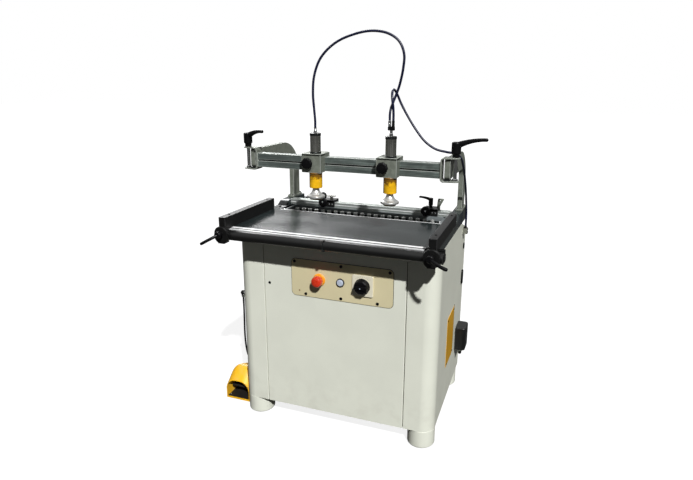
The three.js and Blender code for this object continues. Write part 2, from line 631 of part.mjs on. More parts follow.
// One presser, laid out with x = 0 on its cylinder's axis
function makePressers() {
  const y = beam.front - clear - presserSetback;
  const bottom = beamBottom - carriage.below;
  const top = beamTop + carriage.above;
  const cylinderTop = top + cylinder.height;
  const block0 = beam.front - clear;
  const hook = block(-carriage.left, carriage.right, block0 - overrun, beamRear + clear + carriage.hook,
    beamTop + clear, top);
  const hookBack = block(-carriage.left, carriage.right, beamRear + clear, beamRear + clear + carriage.hook,
    top - carriage.hookDrop, top);
  const body = block(-carriage.left, carriage.right, y - carriage.front, block0, bottom, top);
  const barrel = turned('Z', [
    [0, top - overrun], [cylinder.radius, top - overrun],
    [cylinder.radius, cylinderTop - cylinder.capHeight], [cylinder.capRadius, cylinderTop - cylinder.capHeight],
    [cylinder.capRadius, cylinderTop], [0, cylinderTop],
  ], sidesFine).translate(0, y, 0);
  const sleeveBottom = bottom - sleeve.height;
  const skirt = pin('Z', sleeve.radius, sleeveBottom, bottom + overrun, sidesFine).translate(0, y, 0);
  const chamberTop = cylinderTop - cylinder.roof;
  const chamberBottom = beamTop - rod.ceiling;
  const tools = [
    pin('Z', cylinder.bore, chamberBottom, chamberTop).translate(0, y, 0),
    pin('Z', rod.radius + rod.boreGap, sleeveBottom - overrun, chamberBottom + overrun).translate(0, y, 0),
    pin('Z', sleeve.radius - sleeve.wall, sleeveBottom - overrun, bottom - sleeve.wall, sidesFine)
      .translate(0, y, 0),
    pin('Y', presserKnob.stud + runningGap, y - carriage.front - overrun, y - presserSetback / 3, sidesSmall)
      .translate(-presserKnob.offset, 0, (bottom + top) / 2),
  ];
  const shared = cut(join(body, hook, hookBack, barrel, skirt), ...tools);
  const leftTop = pin('Z', fitting.radius, cylinderTop - overrun, cylinderTop + fitting.height, fitting.hexSides)
    .translate(0, y, 0);
  const teeBottom = cylinderTop + tee.stem;
  const teeTop = teeBottom + tee.height;
  const port = (x) => pin('Z', tee.port, teeTop - overrun, teeTop + tee.portHeight, sidesSmall)
    .translate(x, y, 0);
  const rightTop = [
    pin('Z', fitting.radius, cylinderTop - overrun, teeBottom + overrun, fitting.hexSides).translate(0, y, 0),
    block(-tee.width / 2, tee.width / 2, y - tee.depth / 2, y + tee.depth / 2, teeBottom, teeTop),
    port(-tee.half),
    port(tee.half),
  ];

  const footBottom = tableTop + presserFoot.bottom;
  const footTop = footBottom + presserFoot.height;
  const rodTop = chamberTop - rod.piston - clear;
  const { radius, rim, neck, padInset, padHeight } = presserFoot;
  const foot = turned('Z', [
    [0, footBottom], [radius - padInset, footBottom], [radius - padInset / 2, footBottom + padHeight],
    [radius, footBottom + padHeight], [radius, footBottom + padHeight + rim],
    [radius * 0.72, footBottom + padHeight + rim * 1.7], [neck, footTop], [rod.radius, footTop],
    [rod.radius, rodTop], [cylinder.bore - rod.pistonGap, rodTop],
    [cylinder.bore - rod.pistonGap, rodTop + rod.piston], [0, rodTop + rod.piston],
  ], sidesFine);

  const knob = turned('Y', [
    [0, -presserKnob.height], [presserKnob.radius * 0.8, -presserKnob.height],
    [presserKnob.radius, -presserKnob.height * 0.75], [presserKnob.radius, -presserKnob.height * 0.3],
    [presserKnob.neck, 0], [presserKnob.stud, 0],
    [presserKnob.stud, presserSetback / 2], [0, presserSetback / 2],
  ], sides);

  sideNames.forEach((side, i) => {
    const carriageGroup = new THREE.Group();
    carriageGroup.position.x = presserX[i];
    beamGroup.add(carriageGroup);
    const topPieces = side === 'left' ? [leftTop] : rightTop;
    add(carriageGroup, `${side}_presser_carriage`, join(shared, ...topPieces), materials.galvanised);
    add(carriageGroup, `${side}_presser_foot`, foot, materials.aluminium, [0, y, 0]);
    add(carriageGroup, `${side}_presser_knob`, knob, materials.blackPlastic,
      [-presserKnob.offset, y - carriage.front - clear, (bottom + top) / 2]);
  });
}

// A spur gear's outline with straight-sided teeth
function gearOutline() {
  const size = spindlePitch / gearTeeth;
  const tip = spindlePitch / 2 + size * gear.addendumShare;
  const root = spindlePitch / 2 - size * gear.dedendumShare;
  const tipAngle = Math.asin((size * gear.tipShare) / tip);
  const rootAngle = Math.asin((size * gear.rootShare) / root);
  const points = [];
  for (let tooth = 0; tooth < gearTeeth; tooth += 1) {
    const middle = (tooth * 4 * quarterTurn) / gearTeeth;
    const corners = [[root, -rootAngle], [tip, -tipAngle], [tip, tipAngle], [root, rootAngle]];
    for (const [radius, angle] of corners) {
      points.push([radius * Math.cos(middle + angle), radius * Math.sin(middle + angle)]);
    }
  }
  return points;
}

// The tilting frame, laid out around its pivot, carries the head, the motor and the rear rail
const tiltGroup = new THREE.Group();
machine.add(tiltGroup);
const spindleXs = Array.from({ length: spindleCount }, (_, i) => (i - (spindleCount - 1) / 2) * spindlePitch);
const middleSpindle = (spindleCount - 1) / 2;

function makeSpindles() {
  const shaftBottom = headBottom + head.plate - headBottomBore + clear;
  const chuckBottom = headTop + clear;
  const chuckTop = chuckBottom + spindle.chuckHeight;
  const makeOne = (bottom) => cut(
    join(
      pin('Z', spindle.radius, bottom, chuckBottom + overrun, spindle.sides),
      pin('Z', spindle.chuck, chuckBottom, chuckTop, sidesSmall),
      prism('Z', gearOutline(), gearBottom, gearBottom + gear.height),
    ),
    pin('Z', spindle.socket, chuckTop - spindle.socketDepth, chuckTop + overrun, sidesSmall - 4),
  );
  const plain = makeOne(shaftBottom);
  const driven = makeOne(headBottom - couplingLength);
  const halfTooth = (2 * quarterTurn) / gearTeeth;
  spindleXs.forEach((x, i) => {
    const isMiddle = i === middleSpindle;
    const phase = (i - middleSpindle) % 2 === 0 ? 0 : halfTooth;
    const name = `spindle_${String(i + 1).padStart(2, '0')}`;
    add(tiltGroup, name, isMiddle ? driven : plain, materials.steel, [x, rowY, 0], [0, 0, phase]);
  });
}

function makeHead() {
  const { halfLength, halfDepth, plate: plateHeight, wall, endWall } = head;
  const outer = block(-halfLength, halfLength, rowY - halfDepth, rowY + halfDepth, headBottom, headTop);
  const chamber = block(-halfLength + endWall, halfLength - endWall, rowY - halfDepth + wall, rowY + halfDepth - wall,
    headBottom + plateHeight, headTop - plateHeight);
  const seatTop = headBottom + plateHeight;
  const seat = block(-halfLength + endWall, halfLength - endWall, rowY - spindle.bore, rowY + spindle.bore,
    seatTop - headBottomBore, seatTop + overrun);
  const bores = spindleXs.map((x, i) => {
    const floor = i === middleSpindle ? headBottom - overrun : headTop - plateHeight - overrun;
    return pin('Z', spindle.bore, floor, headTop + overrun, spindle.sides).translate(x, rowY, 0);
  });
  bores.push(seat);
  const lugFront = rowY + halfDepth - overrun;
  const lugRear = rowY + halfDepth + guide.lugDepth;
  const guideY = rowY + halfDepth + guide.lugDepth / 2;
  const lugs = [];
  for (const sign of [-1, 1]) {
    lugs.push(block(sign * guide.x - guide.lug / 2, sign * guide.x + guide.lug / 2, lugFront, lugRear,
      headBottom, headTop));
    bores.push(pin('Z', guide.radius + guide.gap, headBottom - overrun, headTop + overrun)
      .translate(sign * guide.x, guideY, 0));
  }
  const anchorTop = headTop - plateHeight;
  const pistonTop = lowerPlateBottom - feedCylinder.wall;
  const feedRod = turned('Z', [
    [0, pistonTop - rod.piston], [feedCylinder.bore - rod.pistonGap, pistonTop - rod.piston],
    [feedCylinder.bore - rod.pistonGap, pistonTop], [feedCylinder.rod, pistonTop],
    [feedCylinder.rod, headBottom + plateHeight], [0, headBottom + plateHeight],
  ], sides).translate(0, guideY, 0);
  const feeds = [-1, 1].map((sign) => join(
    block(-guide.lug / 2, guide.lug / 2, lugFront, lugRear, headBottom, anchorTop),
    feedRod,
  ).translate(sign * feedCylinder.x, 0, 0));
  const casting = cut(join(outer, ...lugs), chamber, ...bores);
  add(tiltGroup, 'boring_head', join(casting, ...feeds), materials.castGrey);
}

// Tilting frame: side plates with the pivot pins, guide bars, feed cylinder and rail carrier
function makeTiltFrame() {
  const inner = wingInner - tiltSide.gap - tiltSide.thickness;
  const outer = inner + tiltSide.thickness;
  const y0 = pivotY - tiltSide.front;
  const y1 = pivotY + tiltSide.rear;
  const z0 = pivotZ - tiltSide.bottom;
  const z1 = pivotZ + tiltSide.top;
  const sideOutline = [
    [y0 + tiltSide.chamfer, z0], [y1, z0], [y1, z1], [y0 + tiltSide.front / 2, z1],
    [y0, z1 - tiltSide.front / 2], [y0, z0 + tiltSide.chamfer],
  ];
  const pieces = [];
  for (const sign of [-1, 1]) {
    const across = (from, to) => (sign > 0 ? [from, to] : [-to, -from]);
    pieces.push(prism('X', sideOutline, ...across(inner, outer)));
    pieces.push(pin('X', pivot.pin, ...across(outer - overrun, wingInner + pivot.depth - pivot.gap))
      .translate(0, pivotY, pivotZ));
  }
  const guideY = rowY + head.halfDepth + guide.lugDepth / 2;
  const plateY = [guideY - crossPlate.depth / 2, guideY + crossPlate.depth / 2];
  const upper = z1 - crossPlate.thickness;
  const guideTop = z1 - overrun;
  const carrierY = [fenceRailFront + railPlateGap, y1];
  pieces.push(block(-inner - overrun, inner + overrun, ...plateY, upper, z1));
  pieces.push(block(-inner - overrun, inner + overrun, plateY[0] + overrun, carrierY[1], fenceRailBottom - crossPlate.rise,
    fenceRailBottom - clear));
  const bayHalf = motor.radius + motorBay.side;
  const lower = cut(
    block(-inner - overrun, inner + overrun, plateY[0], y1, z0, z0 + crossPlate.thickness),
    block(-bayHalf, bayHalf, plateY[0] - overrun, rowY + motor.radius + motorBay.rear, z0 - overrun,
      z0 + crossPlate.thickness + overrun),
  );
  pieces.push(lower);
  for (const sign of [-1, 1]) {
    pieces.push(pin('Z', guide.radius, z0 + overrun, guideTop).translate(sign * guide.x, guideY, 0));
  }
  const barrelBottom = lowerPlateBottom - feedCylinder.length;
  const bores = [];
  for (const sign of [-1, 1]) {
    const atFeed = (body) => body.translate(sign * feedCylinder.x, guideY, 0);
    pieces.push(atFeed(pin('Z', feedCylinder.radius, barrelBottom, lowerPlateBottom + overrun)));
    bores.push(atFeed(pin('Z', feedCylinder.bore, barrelBottom + feedCylinder.wall,
      lowerPlateBottom - feedCylinder.wall + clear)));
    bores.push(atFeed(pin('Z', feedCylinder.rod + feedCylinder.rodGap, lowerPlateBottom - feedCylinder.wall - overrun,
      lowerPlateBottom + crossPlate.thickness + overrun)));
  }
  const frame = cut(join(...pieces), ...bores);
  add(tiltGroup, 'tilt_frame', frame, materials.castGrey);

  const slotMiddle = fenceRailFront + fenceRail.depth / 2;
  const bar = cut(
    block(-fenceRailHalf, fenceRailHalf, fenceRailFront, fenceRailFront + fenceRail.depth,
      fenceRailBottom, fenceRailTop),
    block(-fenceRailHalf - overrun, fenceRailHalf + overrun, slotMiddle - fenceRail.slot / 2,
      slotMiddle + fenceRail.slot / 2, fenceRailTop - fenceRail.slotDepth, fenceRailTop + overrun),
  );
  add(tiltGroup, 'rear_fence_rail', bar, materials.aluminium);
}

// Drive motor: hangs under the head on its flange, with fins, fan cowl and terminal box
function makeMotor() {
  const top = headBottom - clear;
  const bodyTop = top - motor.flange;
  const bottom = bodyTop - motor.length;
  const fins = [];
  for (let i = 0; i < motor.fins; i += 1) {
    const start = (i * 4 * quarterTurn) / motor.fins;
    const end = start + (4 * quarterTurn * motor.finShare) / motor.fins;
    for (const angle of [start, end]) {
      const outside = angle === start ? [motor.radius - motor.fin, motor.radius] : [motor.radius, motor.radius - motor.fin];
      for (const radius of outside) fins.push([radius * Math.cos(angle), radius * Math.sin(angle)]);
    }
  }
  const flange = block(-motor.radius, motor.radius, -head.halfDepth, head.halfDepth, bodyTop - overrun, top);
  const core = prism('Z', fins, bottom + motor.cowl - overrun, bodyTop);
  const cowl = turned('Z', [
    [0, bottom], [motor.radius * 0.8, bottom], [motor.radius + overrun, bottom + motor.fin * 2],
    [motor.radius + overrun, bottom + motor.cowl], [0, bottom + motor.cowl],
  ], sidesFine);
  const boxTop = bodyTop - motorTerminal.drop;
  const terminal = block(-motorTerminal.width / 2, motorTerminal.width / 2, -motor.radius - motorTerminal.depth / 2,
    motorTerminal.depth / 2 - motor.radius, boxTop - motorTerminal.height, boxTop);
  const shaftHole = pin('Z', spindle.radius + motorShaftGap, top - couplingLength - overrun, top + overrun,
    sidesSmall);
  const geometry = cut(join(flange, core, cowl, terminal), shaftHole);
  add(tiltGroup, 'drive_motor', geometry, materials.castGrey, [0, rowY, 0]);
}

// Flip stops: a block that rides on the rear rail and a finger that flips on its pin
function makeStops() {
  const blockTop = fenceRailTop + stopBlock.above;
  const railRear = fenceRailFront + fenceRail.depth;
  const cheekBottom = fenceRailTop - stopBlock.cheekDown;
  const cheekFront = fenceRailFront - clear - stopBlock.cheek;
  const pivotHeight = fenceRailTop + stopPivot.up;
  const discRear = cheekFront - clear;
  const discFront = discRear - stopPivot.discThickness;
  const pinX = stopPivot.offset;
  const bridge = block(-stopBlock.half, stopBlock.half, cheekFront, railRear + clear + stopBlock.rearCheek,
    fenceRailTop + clear, blockTop);
  const frontCheek = block(-stopBlock.half, stopBlock.half, cheekFront, fenceRailFront - clear, cheekBottom, blockTop);
  const rearCheek = block(-stopBlock.half, stopBlock.half, railRear + clear, railRear + clear + stopBlock.rearCheek,
    cheekBottom, blockTop);
  const axle = pin('Y', stopPivot.pin, discFront - clear, cheekFront + overrun, sidesSmall)
    .translate(pinX, 0, pivotHeight);
  const shared = [bridge, frontCheek, rearCheek, axle];
  const middleY = fenceRailFront + fenceRail.depth / 2;

  const lever = clampLever(stopLever, 0).rotateZ(2 * quarterTurn).translate(stopLever.x, middleY, blockTop - overrun);
  const bracket = prism('Y', [
    [stopBlock.half - stopBracket.footWidth, blockTop - overrun], [stopBlock.half, blockTop - overrun],
    [stopBracket.outer, blockTop + stopBracket.rise], [stopBracket.inner, blockTop + stopBracket.rise],
  ], middleY - stopBracket.depth / 2, middleY + stopBracket.depth / 2);

  const postTop = blockTop + stopPost.height;
  const postY = [middleY - stopPost.depth / 2, middleY + stopPost.depth / 2];
  const deckLeft = stopPost.x - stopPost.deckHalf;
  const post = block(stopPost.x - stopPost.width / 2, stopPost.x + stopPost.width / 2, ...postY,
    blockTop - overrun, postTop);
  const deck = block(deckLeft, stopPost.x + stopPost.deckHalf, ...postY, postTop - stopPost.deck, postTop);
  const knob = pin('Y', stopPost.knobRadius, postY[0] - stopPost.knobLength, middleY, sides)
    .translate(deckLeft - stopPost.knobRadius + overrun, 0, postTop);
  const tops = { left: [post, deck, knob], right: [lever, bracket] };

  const disc = pin('Y', stopPivot.discRadius, discFront, discRear, sides).translate(0, 0, pivotHeight);
  const blade = block(-stopBlade.width / 2, stopBlade.width / 2, discFront, discRear,
    tableTop + stopBlade.bottom, pivotHeight);
  const bore = pin('Y', stopPivot.pin + stopPivot.bore, discFront - overrun, discRear + overrun, sidesSmall)
    .translate(0, 0, pivotHeight);
  const finger = cut(join(disc, blade), bore);

  sideNames.forEach((side, i) => {
    const stop = new THREE.Group();
    stop.position.x = stopX[i];
    tiltGroup.add(stop);
    add(stop, `${side}_stop_block`, join(...shared, ...tops[side]), materials.blackMetal);
    add(stop, `${side}_stop_finger`, finger, materials.blackPlastic, [pinX, 0, 0]);
  });
}

// Control plate with its screws, the emergency stop, the start button and the selector
function makeControls() {
  const x0 = plate.x - plate.width / 2;
  const z0 = cabinetTop - plate.drop - plate.height / 2;
  const face = -clear - plate.thickness;
  const sheetShape = roundedRectangle(x0, x0 + plate.width, z0, z0 + plate.height, plate.corner);
  const sheet = prism('Y', sheetShape, face, -clear);
  const collar = turned('Y', [
    [0, face + clear], [estop.collar, face + clear], [estop.collar, face - estop.collarHeight / 2],
    [estop.collar - estop.collarHeight, face - estop.collarHeight], [0, face - estop.collarHeight],
  ], sidesFine).translate(estop.x, 0, buttonRow);
  const bezel = pin('Y', start.bezel, face - start.bezelHeight, face + clear, sides).translate(start.x, 0, buttonRow);
  const half = selector.plate / 2;
  const selectorFace = face - selector.plateHeight;
  const selectorPlate = prism('Y', roundedRectangle(selector.x - half, selector.x + half, buttonRow - half,
    buttonRow + half, selector.corner), selectorFace, face + clear);
  const screws = [];
  const screwRows = [
    [plateScrews.topHalf, z0 + plate.height - plateScrews.edge],
    [plateScrews.bottomHalf, z0 + plateScrews.edge],
  ];
  for (const [reach, z] of screwRows) {
    for (const x of [plate.x - reach, plate.x, plate.x + reach]) {
      screws.push(pin('Y', plate.screw, face - plate.head, face + clear, sidesSmall - 2).translate(x, 0, z));
    }
  }
  const hole = (x, radius, front, rear) => pin('Y', radius, front, rear, sides).translate(x, 0, buttonRow);
  const face2 = face - estop.collarHeight;
  const geometry = cut(
    join(sheet, collar, bezel, selectorPlate, ...screws),
    hole(estop.x, estop.hole, face2 - overrun, overrun),
    hole(start.x, start.hole, face - start.bezelHeight - overrun, overrun),
    hole(selector.x, selector.hole + runningGap, selectorFace - overrun, overrun),
  );
  add(machine, 'control_plate', geometry, materials.beige);

  const stemEnd = -clear;
  const capBack = face2 - estop.stand + estop.collarHeight;
  const estopShape = turned('Y', [
    [0, face2 - estop.height], [estop.cap * 0.75, face2 - estop.height], [estop.cap, face2 - estop.height * 0.8],
    [estop.cap, capBack], [estop.neck - overrun * 2, capBack],
    [estop.stem, capBack + overrun], [estop.stem, stemEnd], [0, stemEnd],
  ], sidesFine);
  add(machine, 'estop_button', estopShape, materials.red, [estop.x, 0, buttonRow]);

  const startFace = face - start.bezelHeight - start.height;
  add(machine, 'start_button', pin('Y', start.cap, startFace, -clear, sides), materials.paleBlue,
    [start.x, 0, buttonRow]);

  const knobBack = selectorFace - clear;
  const knobFront = knobBack - selector.knob;
  const knob = turned('Y', [
    [0, knobFront], [selector.radius * 0.86, knobFront], [selector.radius, knobFront + selector.knob * 0.2],
    [selector.radius, knobBack - overrun], [selector.hub, knobBack], [selector.hole, knobBack],
    [selector.hole, -clear], [0, -clear],
  ], sidesFine);
  const gripHalf = selector.radius * selectorGrip.lengthShare;
  const grip = block(-gripHalf, gripHalf, knobFront - selectorGrip.height, knobFront + overrun,
    -selectorGrip.width / 2, selectorGrip.width / 2);
  add(machine, 'selector_knob', join(knob, grip), materials.blackPlastic, [selector.x, 0, buttonRow]);
}

function makeIsolator() {
  const wall = cabinet.halfWidth + clear;
  const { front, depth, bottom, height, width, corner } = isolator;
  const outline = [
    [wall, front],
    ...arc(wall + width - corner, front + corner, corner, -quarterTurn, 0),
    ...arc(wall + width - corner, front + depth - corner, corner, 0, quarterTurn), [wall, front + depth],
  ];
  const box = prism('Z', outline, bottom, bottom + height);
  const glands = [-1, 1].map((sign) => pin('Z', isolatorGland.radius, bottom - isolatorGland.length,
    bottom + overrun, sidesSmall).translate(wall + width / 2, front + depth / 2 + sign * isolatorGland.spread, 0));
  add(machine, 'isolator_box', join(box, ...glands), materials.blackPlastic);
}

// Foot pedal: a hooded guard on the floor with a treadle inside
function makePedal() {
  const half = pedal.width / 2;
  const rear = pedal.front + pedal.depth;
  const arch = (inset, bottom) => [
    [-half + inset, bottom],
    [half - inset, bottom],
    ...arc(half - pedal.corner, pedal.height - pedal.corner, pedal.corner - inset, 0, quarterTurn),
    ...arc(-half + pedal.corner, pedal.height - pedal.corner, pedal.corner - inset, quarterTurn, 2 * quarterTurn),
  ];
  const profile = (inset, bottom, front) => [
    [front, bottom], [rear - inset, bottom], [rear - inset, pedal.rearHeight - inset],
    [pedal.front + pedalNose.run, pedal.height - inset], [front, pedalNose.height - inset],
  ];
  const hood = (inset, bottom, front) => common(
    prism('Y', arch(inset, bottom), front, rear - inset),
    prism('X', profile(inset, bottom, front), -half, half),
  );
  const pivotAt = [0, pedal.front + treadle.pivotBack, treadle.pivotUp];
  const ears = [-1, 1].map((sign) => {
    const near = treadle.width / 2 + treadleEar.gap;
    const far = half - pedal.wall / 2;
    const reach = sign > 0 ? [near, far] : [-far, -near];
    return pin('X', treadleEar.radius, ...reach, sidesSmall).translate(...pivotAt);
  });
  const earBore = pin('X', treadle.pin + treadleEar.bore, -half + pedal.wall, half - pedal.wall, sidesSmall)
    .translate(...pivotAt);
  const port = pin('Y', pedalPort.radius, rear - pedal.wall / 2, rear + pedalPort.length, sidesSmall)
    .translate(0, 0, pedalPort.up);
  const shell = cut(hood(0, 0, pedal.front), hood(pedal.wall, pedalBase, pedal.front - overrun));
  const guard = cut(join(shell, ...ears, port), earBore);
  const pedalGroup = new THREE.Group();
  pedalGroup.position.x = pedal.x;
  machine.add(pedalGroup);
  add(pedalGroup, 'pedal_guard', guard, materials.yellow);

  const pinHalf = treadle.width / 2 + treadleEar.gap + treadleEar.thickness - clear;
  const step = join(
    prism('X', [
      [-treadle.length, treadle.slope], [-treadle.length, treadle.slope + treadle.thickness],
      [0, treadle.pin + overrun], [treadle.pin + overrun, 0], [0, -treadle.pin + overrun],
    ], -treadle.width / 2, treadle.width / 2),
    pin('X', treadle.pin, -pinHalf, pinHalf, sidesSmall),
  );
  add(pedalGroup, 'pedal_treadle', step, materials.blackPlastic, pivotAt);
}

// Hoses. The routes are chosen by hand; their ends follow the fittings.
function makeHoses() {
  const y = beam.front - clear - presserSetback;
  const cylinderTop = beamTop + carriage.above + cylinder.height;
  const leftEnd = [presserX[0], y, cylinderTop + fitting.height + clear];
  const teePort = cylinderTop + tee.stem + tee.height + tee.portHeight + clear;
  const linkEnd = [presserX[1] - tee.half, y, teePort];
  const supplyStart = [presserX[1] + tee.half, y, teePort];
  const inletEnd = [cabinet.halfWidth + inlet.out / 2, inlet.y, inletBottom + inlet.height + inlet.portHeight + clear];
  const link = [
    leftEnd,
    [-110, y, 1300], [-114, 100, 1345], [-118, 100, 1400], [-112, 100, 1468], [-84, 100, 1534],
    [-25, 100, 1587], [48, 100, 1616], [118, 100, 1627], [181, 100, 1617], [223, 100, 1589],
    [242, 100, 1546], [240, 102, 1500], [232, 108, 1463], [222, 114, 1430], [211, 117, 1402],
    [202, 113, 1376], [195.5, 104.5, 1352], [194, y, 1333],
    linkEnd,
  ];
  const supply = [
    supplyStart,
    [208, y, 1332], [207.3, 97.2, 1355], [205, 94.1, 1377], [202.2, 96.8, 1393.6], [199.4, 105.7, 1407.8],
    [197, 120.2, 1417.7], [196, 137, 1421], [196.7, 153.4, 1417.9], [199, 168.1, 1408.1], [203.5, 177.7, 1394],
    [210, 182, 1377], [234, 183, 1334], [272, 179, 1279], [312, 176, 1232], [354, 181, 1203],
    [392, 196, 1192], [424, 219, 1184], [442, 253, 1165], [446, 306, 1126], [445, 370, 1075],
    [443, 440, 1007], [441, 494, 938], [441, 521, 880], [441, 524, 845],
    inletEnd,
  ];
  const elbowEnd = [-cabinet.halfWidth - elbow.out, elbow.y, elbowZ - elbow.portDrop - clear];
  const pedalEnd = [pedal.x, pedal.front + pedal.depth + pedalPort.length + clear, pedalPort.up];
  const foot = [
    elbowEnd, [-455, 70, 490], [-457, 72, 420], [-461, 76, 350], [-463, 82, 290], [-462, 92, 235],
    [-456, 105, 195], [-446, 122, 150], [-438.5, 150, 95], [-437, 187, 52], [-437, 235, 24], [-437, 270, 11],
    [-437, 305, 6], [-437, 345, 6], [-442.6, 366, 6], [-458, 381.4, 6], [-479, 387, 6], [-500, 381.4, 7],
    [-515.4, 366, 8], [-521, 345, 11], [-518, 322, 17], [-510, 304, 24], [-505.2, 286, 28], pedalEnd,
  ];
  cordNames.push('link_hose', 'supply_hose', 'pedal_hose');
  add(machine, 'link_hose', tube(link, airHose, 58), materials.navy);
  add(machine, 'supply_hose', tube(supply, airHose, 66), materials.navy);
  add(machine, 'pedal_hose', tube(foot, pedalHoseSize, 46), materials.blackPlastic);
}

makeFrame();
makeShells();
makeFrontPanel();
makeTable();
makeFrontRail();
makeFences();
makeArms();
makeBeam();
makePressers();
makeSpindles();
makeHead();
makeTiltFrame();
makeMotor();
makeStops();
makeControls();
makeIsolator();
makePedal();
makeHoses();

// The origin goes under the middle of the machine's box, measured without the free hoses
machine.updateMatrixWorld(true);
const bounds = new THREE.Box3();
machine.traverse((piece) => {
  if (piece.isMesh && !cordNames.includes(piece.name)) bounds.expandByObject(piece, true);
});
const centre = bounds.getCenter(new THREE.Vector3());
machine.position.set(-centre.x, -centre.y, -bounds.min.z);

export default machine;
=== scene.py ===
import math

import bmesh
import bpy
from mathutils import Matrix, Vector


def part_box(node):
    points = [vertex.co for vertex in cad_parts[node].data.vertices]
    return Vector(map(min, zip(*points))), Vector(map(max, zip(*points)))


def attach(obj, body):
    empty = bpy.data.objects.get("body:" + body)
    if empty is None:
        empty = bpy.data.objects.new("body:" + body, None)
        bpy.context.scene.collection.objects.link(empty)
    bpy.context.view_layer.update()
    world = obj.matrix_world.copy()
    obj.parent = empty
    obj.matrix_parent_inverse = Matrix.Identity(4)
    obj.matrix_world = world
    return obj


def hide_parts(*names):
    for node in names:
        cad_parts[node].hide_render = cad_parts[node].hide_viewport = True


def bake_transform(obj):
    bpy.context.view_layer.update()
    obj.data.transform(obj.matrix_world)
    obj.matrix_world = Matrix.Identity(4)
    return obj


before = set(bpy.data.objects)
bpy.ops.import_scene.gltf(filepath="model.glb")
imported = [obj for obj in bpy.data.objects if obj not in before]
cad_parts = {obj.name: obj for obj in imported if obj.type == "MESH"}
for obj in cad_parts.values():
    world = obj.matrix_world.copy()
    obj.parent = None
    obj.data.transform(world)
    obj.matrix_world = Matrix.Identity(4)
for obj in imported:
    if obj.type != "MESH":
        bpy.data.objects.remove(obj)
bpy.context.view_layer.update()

# Millimetres: x from the middle spindle, y from the cabinet's front face, z from the floor.
frame_low, frame_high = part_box("base_frame")
ORIGIN = Vector(((frame_low.x + frame_high.x) / 2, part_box("right_side_shell")[0].y, 0))
SHARP = math.radians(32)
SIDES = {"left": -1, "right": 1}


def spot(x, y, z):
    """A place on the machine, in metres in the frame's own axes."""
    return ORIGIN + Vector((x, y, z)) / 1000


# Camera
photo_width = 693
focal_pixels = 534.78
middle_of_view = (365.6 - 346.5, 227.53 - 240)
camera = bpy.data.objects.new("photo_camera", bpy.data.cameras.new("photo_camera"))
bpy.context.collection.objects.link(camera)
camera_axes = Matrix((
    (0.94613362, 0.32357247, 0.0114906),
    (-0.09442392, 0.24180346, 0.96572005),
    (0.30970195, -0.91478519, 0.25933136),
)).transposed()
camera.matrix_world = Matrix.Translation(spot(764.889, -1853.207, 1440.48)) @ camera_axes.to_4x4()
camera.data.sensor_width = 36
camera.data.lens = focal_pixels / photo_width * camera.data.sensor_width
camera.data.shift_x = -middle_of_view[0] / photo_width
camera.data.shift_y = middle_of_view[1] / photo_width
camera.data.clip_end = 60
bpy.context.scene.camera = camera


# Finishes
class Wire:
    """An output of a node tree, used in plain sums."""

    def __init__(self, tree, socket):
        self.tree, self.socket = tree, socket

    def sum(self, operation, *values):
        return self.tree.add("ShaderNodeMath", {"operation": operation}, dict(enumerate(values)))

    def __add__(self, other):
        return self.sum("ADD", self, other)

    def __radd__(self, other):
        return self.sum("ADD", other, self)

    def __sub__(self, other):
        return self.sum("SUBTRACT", self, other)

    def __rsub__(self, other):
        return self.sum("SUBTRACT", other, self)

    def __mul__(self, other):
        return self.sum("MULTIPLY", self, other)

    def __rmul__(self, other):
        return self.sum("MULTIPLY", other, self)

    def band(self, low, high):
        """0 below low, 1 above high, smooth between."""
        return self.tree.add("ShaderNodeMapRange", {"interpolation_type": "SMOOTHSTEP"},
                             {"Value": self, "From Min": low, "From Max": high})


class Tree:
    """A node tree. Each node is added with its settings first, then the values or links of its sockets."""

    def __init__(self, node_tree):
        self.nodes, self.links = node_tree.nodes, node_tree.links
        self.nodes.clear()

    def add(self, kind, settings=None, inputs=None, out=0):
        node = self.nodes.new(kind)
        for key, value in (settings or {}).items():
            setattr(node, key, value)
        for key, value in (inputs or {}).items():
            self.feed(node.inputs[key], value)
        return Wire(self, node.outputs[out] if len(node.outputs) else None)

    def feed(self, target, value):
        if isinstance(value, Wire):
            self.links.new(value.socket, target)
        else:
            target.default_value = value


class Finish(Tree):
    """A procedural material with one Principled shader, whose patterns follow Object coordinates."""

    def __init__(self, name, **constants):
        self.material = bpy.data.materials.new(name)
        self.material.use_nodes = True
        super().__init__(self.material.node_tree)
        shader = self.add("ShaderNodeBsdfPrincipled")
        self.shader = shader.socket.node
        self.add("ShaderNodeOutputMaterial", inputs={"Surface": shader})
        for socket, value in constants.items():
            self.set(socket.replace("_", " "), value)
        self.place = self.add("ShaderNodeTexCoord", out="Object")

    def set(self, socket, value):
        self.feed(self.shader.inputs[socket], value)

    def noise(self, scale, detail=3, stretch=(1, 1, 1), offset=(0, 0, 0)):
        """Noise with features of about 1/scale metres."""
        moved_place = self.add("ShaderNodeMapping", inputs={
            "Vector": self.place, "Location": offset, "Scale": [scale * s for s in stretch]})
        return self.add("ShaderNodeTexNoise", inputs={
            "Vector": moved_place, "Scale": 1.0, "Detail": detail, "Roughness": 0.55})

    def mix(self, factor, a, b):
        return self.add("ShaderNodeMix", {"data_type": "RGBA"}, {0: factor, 6: a, 7: b}, out=2)

    def height(self):
        return self.add("ShaderNodeSeparateXYZ", inputs={0: self.place}, out="Z")

    def bump(self, height, strength=0.2, distance=0.0004):
        self.set("Normal", self.add("ShaderNodeBump", inputs={
            "Strength": strength, "Distance": distance, "Height": height}))


def shade(colour, amount):
    return tuple(min(1, c * amount) for c in colour[:3]) + (1,)


